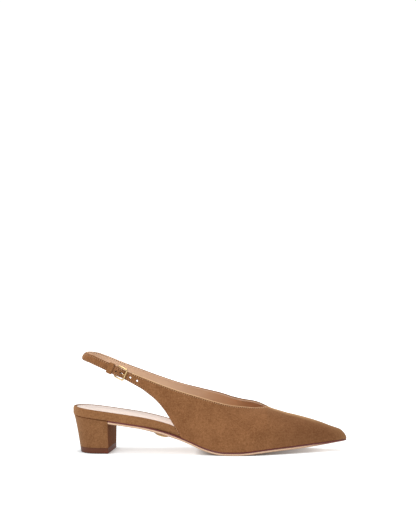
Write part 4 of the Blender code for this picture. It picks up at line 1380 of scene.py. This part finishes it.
def stitches(name, runs, thread, hole=needle_hole_shade.material):
    """Rows of stitches along runs of (point, outward direction), with thread or dark beads of painted shade
    between them.
    """
    points, edges, outwards = [], [], []
    for run in runs:
        start = len(points)
        points += [point + FRAME_SHIFT for point, _ in run]
        outwards += [outward for _, outward in run]
        edges += [(start + k, start + k + 1) for k in range(len(run) - 1)]
    mesh = bpy.data.meshes.new(name)
    mesh.from_pydata(points, edges, [])
    store = mesh.attributes.new("outward", "FLOAT_VECTOR", "POINT")
    store.data.foreach_set("vector", [value for outward in outwards for value in outward])
    piece = in_scene(name, mesh)
    sewn = piece.modifiers.new("sewn", "NODES")
    sewn.node_group = stitch_row
    values = {
        "Pitch": STITCH_PITCH, "Stitch Length": STITCH_LENGTH, "Thread Width": THREAD_WIDTH,
        "Thread Height": THREAD_HEIGHT, "Needle Hole": NEEDLE_HOLE, "Thread": thread, "Hole": hole,
    }
    for item in stitch_row.interface.items_tree:
        if item.in_out == "INPUT" and item.name in values:
            sewn[item.identifier] = values[item.name]
    settle(piece)
    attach(piece, "root")


def sewn_run(side, at_top, depth):
    """A row of stitches on one rim of the upper, this deep under its outer face."""
    run = []
    for top_x, row in sheets[side]:
        if top_x > SEAM_FRONT or (not at_top and QUARTER.at("cut", along(top_x)) > SEAM_CUT):
            break
        if side == "outer" and top_x < TAB_END:
            continue
        point, outward = row[-1 - SEW_COLUMN] if at_top else row[SEW_COLUMN]
        run.append((point - outward * depth, outward if depth < SUEDE_THICKNESS else -outward))
    return run


def strap_run(edge, outside):
    """A row of stitches along one edge of the strap, outside or inside."""
    run = []
    half = STRAP_WIDTH / 2
    a = edge * (half - STITCH_SET)
    level = UPPER_WALL / 2 - GROOVE_DEPTH * 0.6 if outside else -UPPER_WALL / 2
    for (middle, _, outward, across), crown in zip(path[2:-6], crowns[2:-6]):
        point = middle + across * a + outward * (level - crown * (a / half) ** 2)
        run.append((point, outward if outside else -outward))
    return run


wall_depth = SUEDE_THICKNESS + LINING_THICKNESS + 0.0001
rims = [(side, at_top) for side in SIGN for at_top in (True, False)]
# Pale beads along the outer topline's rim: a painted highlight.
rim_highlight_line = [
    (row[-1][0] + Vector((0, 0, HIGHLIGHT_RISE)), row[-1][1])
    for top_x, row in sheets["outer"]
    if HIGHLIGHT_START < top_x < SEAM_FRONT
]
stitches("upper_topstitching", [sewn_run(*rim, 0.0) for rim in rims], brown_thread)
stitches("topline_painted_highlight", [rim_highlight_line], rim_highlight_beads, rim_highlight_beads)
stitches("lining_stitching", [sewn_run(*rim, wall_depth) for rim in rims], pale_thread, pale_thread)
stitches("strap_topstitching", [strap_run(edge, True) for edge in (1, -1)], brown_thread)
stitches("strap_lining_stitching", [strap_run(edge, False) for edge in (1, -1)], pale_thread)


# Keeper: a narrow loop of thin suede round the strap, butted and glued at the back. The tab's end passes
# through it behind the buckle and is held down by it.
KEEPER_WIDTH = 0.0052
KEEPER_THICKNESS = 0.0010
KEEPER_SET = 0.0060
KEEPER_BEND = 0.0006
KEEPER_EASE = 0.0003


def rounded_box(low, high, half, bend, steps):
    """Points round a box from low to high, half to either side, with bent corners, and the way out."""
    outline = []
    for y, z, turn in ((high, half, 0), (low, half, 90), (low, -half, 180), (high, -half, 270)):
        corner_y = y - math.copysign(bend, y - (low + high) / 2)
        corner_z = z - math.copysign(bend, z)
        for k in range(steps):
            angle = math.radians(turn + 90 * k / (steps - 1))
            out = (math.cos(angle), math.sin(angle))
            outline.append(((corner_y + bend * out[0], corner_z + bend * out[1]), out))
    return outline


half = KEEPER_WIDTH / 2
corner = [(KEEPER_EASE * (1 - math.cos(a)), KEEPER_EASE * (1 - math.sin(a))) for a in round_steps]
section = [(half, 0.0)] + [(half - u, KEEPER_THICKNESS - v) for u, v in corner]
section += [(-half + u, KEEPER_THICKNESS - v) for u, v in reversed(corner)] + [(-half, 0.0)]
inside = rounded_box(-UPPER_WALL / 2 - FIT, 1.5 * UPPER_WALL + 2 * FIT, STRAP_WIDTH / 2 + FIT, KEEPER_BEND, 7)
keeper_rings = [
    [on_bar(-KEEPER_SET + s, place[0] + out[0] * t, place[1] + out[1] * t) for s, t in section]
    for place, out in inside
]
keeper_suede = suede("tan_suede_keeper", rgb(156, 110, 72), rgb(106, 67, 40))
keeper = tube("keeper_suede", keeper_rings, keeper_suede.material, True)
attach(keeper, "root")
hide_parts("keeper_loop")


# Buckle: a small cast frame with rounded corners, plated pale gold, hung on the strap's fold. The prong is
# bent from wire, closed round the hinge bar, passes through the tab and rests on the front bar.
BUCKLE_REACH = 0.0097
BUCKLE_WIDTH = 0.0110
BUCKLE_RISE = 0.0019
BUCKLE_CORNER = 0.0012
WIRE_SIDES = 14

gold_finish = Finish("pale_gold_plate", 0.2, 1.0)
gold_cloud = gold_finish.noise(900, 3, 0.5)
gold_finish.colour(gold_finish.mix(gold_cloud, rgb(190, 158, 108), rgb(216, 188, 142)))
gold_finish.rough(gold_finish.ramp(gold_cloud, 0.3, 0.7, 0.26, 0.38))
gold_finish.bump(gold_cloud, 0.00002)


def swept_wire(name, points, wide, high, place, swell=None):
    """A gold wire along points in the buckle's plane, with an oval section, wide in it and high across it.

    swell gives a share of its thickness for each point, and then it has two ends. Else it is a closed ring.
    """
    count, rings = len(points), []
    upright = Vector((0, 0, 1) if swell else (0, 1, 0))
    for i, point in enumerate(points):
        before = points[max(i - 1, 0) if swell else i - 1]
        after = points[min(i + 1, count - 1) if swell else (i + 1) % count]
        ahead = (Vector(after) - Vector(before)).normalized()
        beside = ahead.cross(upright).normalized()
        rise = beside.cross(ahead).normalized()
        grow = swell[i] if swell else 1.0
        rings.append([
            place @ (Vector(point) + beside * wide * grow * math.cos(a) + rise * high * grow * math.sin(a))
            - FRAME_SHIFT
            for a in angles(WIRE_SIDES)
        ])
    piece = tube(name, rings, gold_finish.material, not swell)
    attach(piece, "root")
    return piece


def smooth_line(points, steps):
    """A soft curve through the points."""
    line = []
    for i in range(len(points) - 1):
        a, b, c, d = (Vector(points[min(max(i + k, 0), len(points) - 1)]) for k in (-1, 0, 1, 2))
        for s in range(steps):
            t = s / steps
            bend, twist = 2 * a - 5 * b + 4 * c - d, 3 * b - a - 3 * c + d
            line.append(0.5 * (2 * b + (c - a) * t + bend * t * t + twist * t**3))
    return line + [Vector(points[-1])]


tilt = math.asin(BUCKLE_RISE / BUCKLE_REACH)
leaned = bar @ Matrix.Rotation(tilt, 4, "Z")
frame_line = [(x, 0, z) for (x, z), _ in rounded_box(0, BUCKLE_REACH, BUCKLE_WIDTH / 2, BUCKLE_CORNER, 9)]
buckle = swept_wire("buckle_frame_gold", frame_line, WIRE_RADIUS, WIRE_RADIUS * 0.9, leaned)
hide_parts("buckle_frame")

prong_ring = WIRE_RADIUS + FIT + PRONG_RADIUS
tip_x = BUCKLE_REACH * math.cos(tilt)
tip_y = BUCKLE_RISE + WIRE_RADIUS + FIT + PRONG_RADIUS
prong_turn = [math.radians(60 + 22.5 * k) for k in range(10)]
prong_line = [(prong_ring * math.cos(a), prong_ring * math.sin(a), 0) for a in prong_turn]
prong_line += [
    (0.88 * prong_ring, -0.97 * prong_ring, 0),
    (1.62 * prong_ring, -0.53 * prong_ring, 0),
    (0.55 * tip_x, 0.30 * tip_y, 0),
    (0.80 * tip_x, 0.86 * tip_y, 0),
    (0.95 * tip_x, 1.06 * tip_y, 0),
    (tip_x + 2 * PRONG_RADIUS, 1.04 * tip_y, 0),
]
prong_line = smooth_line(prong_line, 4)
prong_count = len(prong_line)
prong_swell = [min(1.15, 0.35 + 4 * (prong_count - 1 - i) / prong_count) for i in range(prong_count)]
prong = swept_wire("buckle_prong_gold", prong_line, PRONG_RADIUS, PRONG_RADIUS, bar, prong_swell)
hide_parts("buckle_prong")


# Waist stud: a plain oval stud with a low dome and a stepped rim, pressed into the sole under the waist and
# plated like the buckle.
STUD_PLACE = 0.0855
STUD_SIDE = -0.0070
STUD_LENGTH = 0.0135
STUD_WIDTH = 0.0080
STUD_HEIGHT = 0.0018
STUD_SIDES = 56

slope = (underside(STUD_PLACE + STUD_LENGTH / 2) - underside(STUD_PLACE - STUD_LENGTH / 2)) / STUD_LENGTH
stud_place = Matrix.Translation(
    (STUD_PLACE, STUD_SIDE, underside(STUD_PLACE) - WAIST_CROWN - 1.5 * FIT)
) @ Matrix.Rotation(-math.atan(slope), 4, "Y")
stud_profile = [(0.90, 0.5), (0.97, 0.0), (1.0, -0.12), (0.985, -0.26), (0.93, -0.34), (0.86, -0.36)]
for k in range(9):
    a = math.pi / 2 * k / 9
    stud_profile.append((0.84 * math.cos(a), -0.38 - 0.62 * math.sin(a)))
stud_rings = []
for share, drop in stud_profile:
    long, wide, low = STUD_LENGTH / 2 * share, STUD_WIDTH / 2 * share, STUD_HEIGHT * drop
    ring = [Vector((long * math.cos(a), wide * math.sin(a), low)) for a in angles(STUD_SIDES)]
    stud_rings.append([stud_place @ point for point in ring])
stud = tube("waist_stud_gold", stud_rings, gold_finish.material)
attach(stud, "root")
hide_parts("waist_stud")
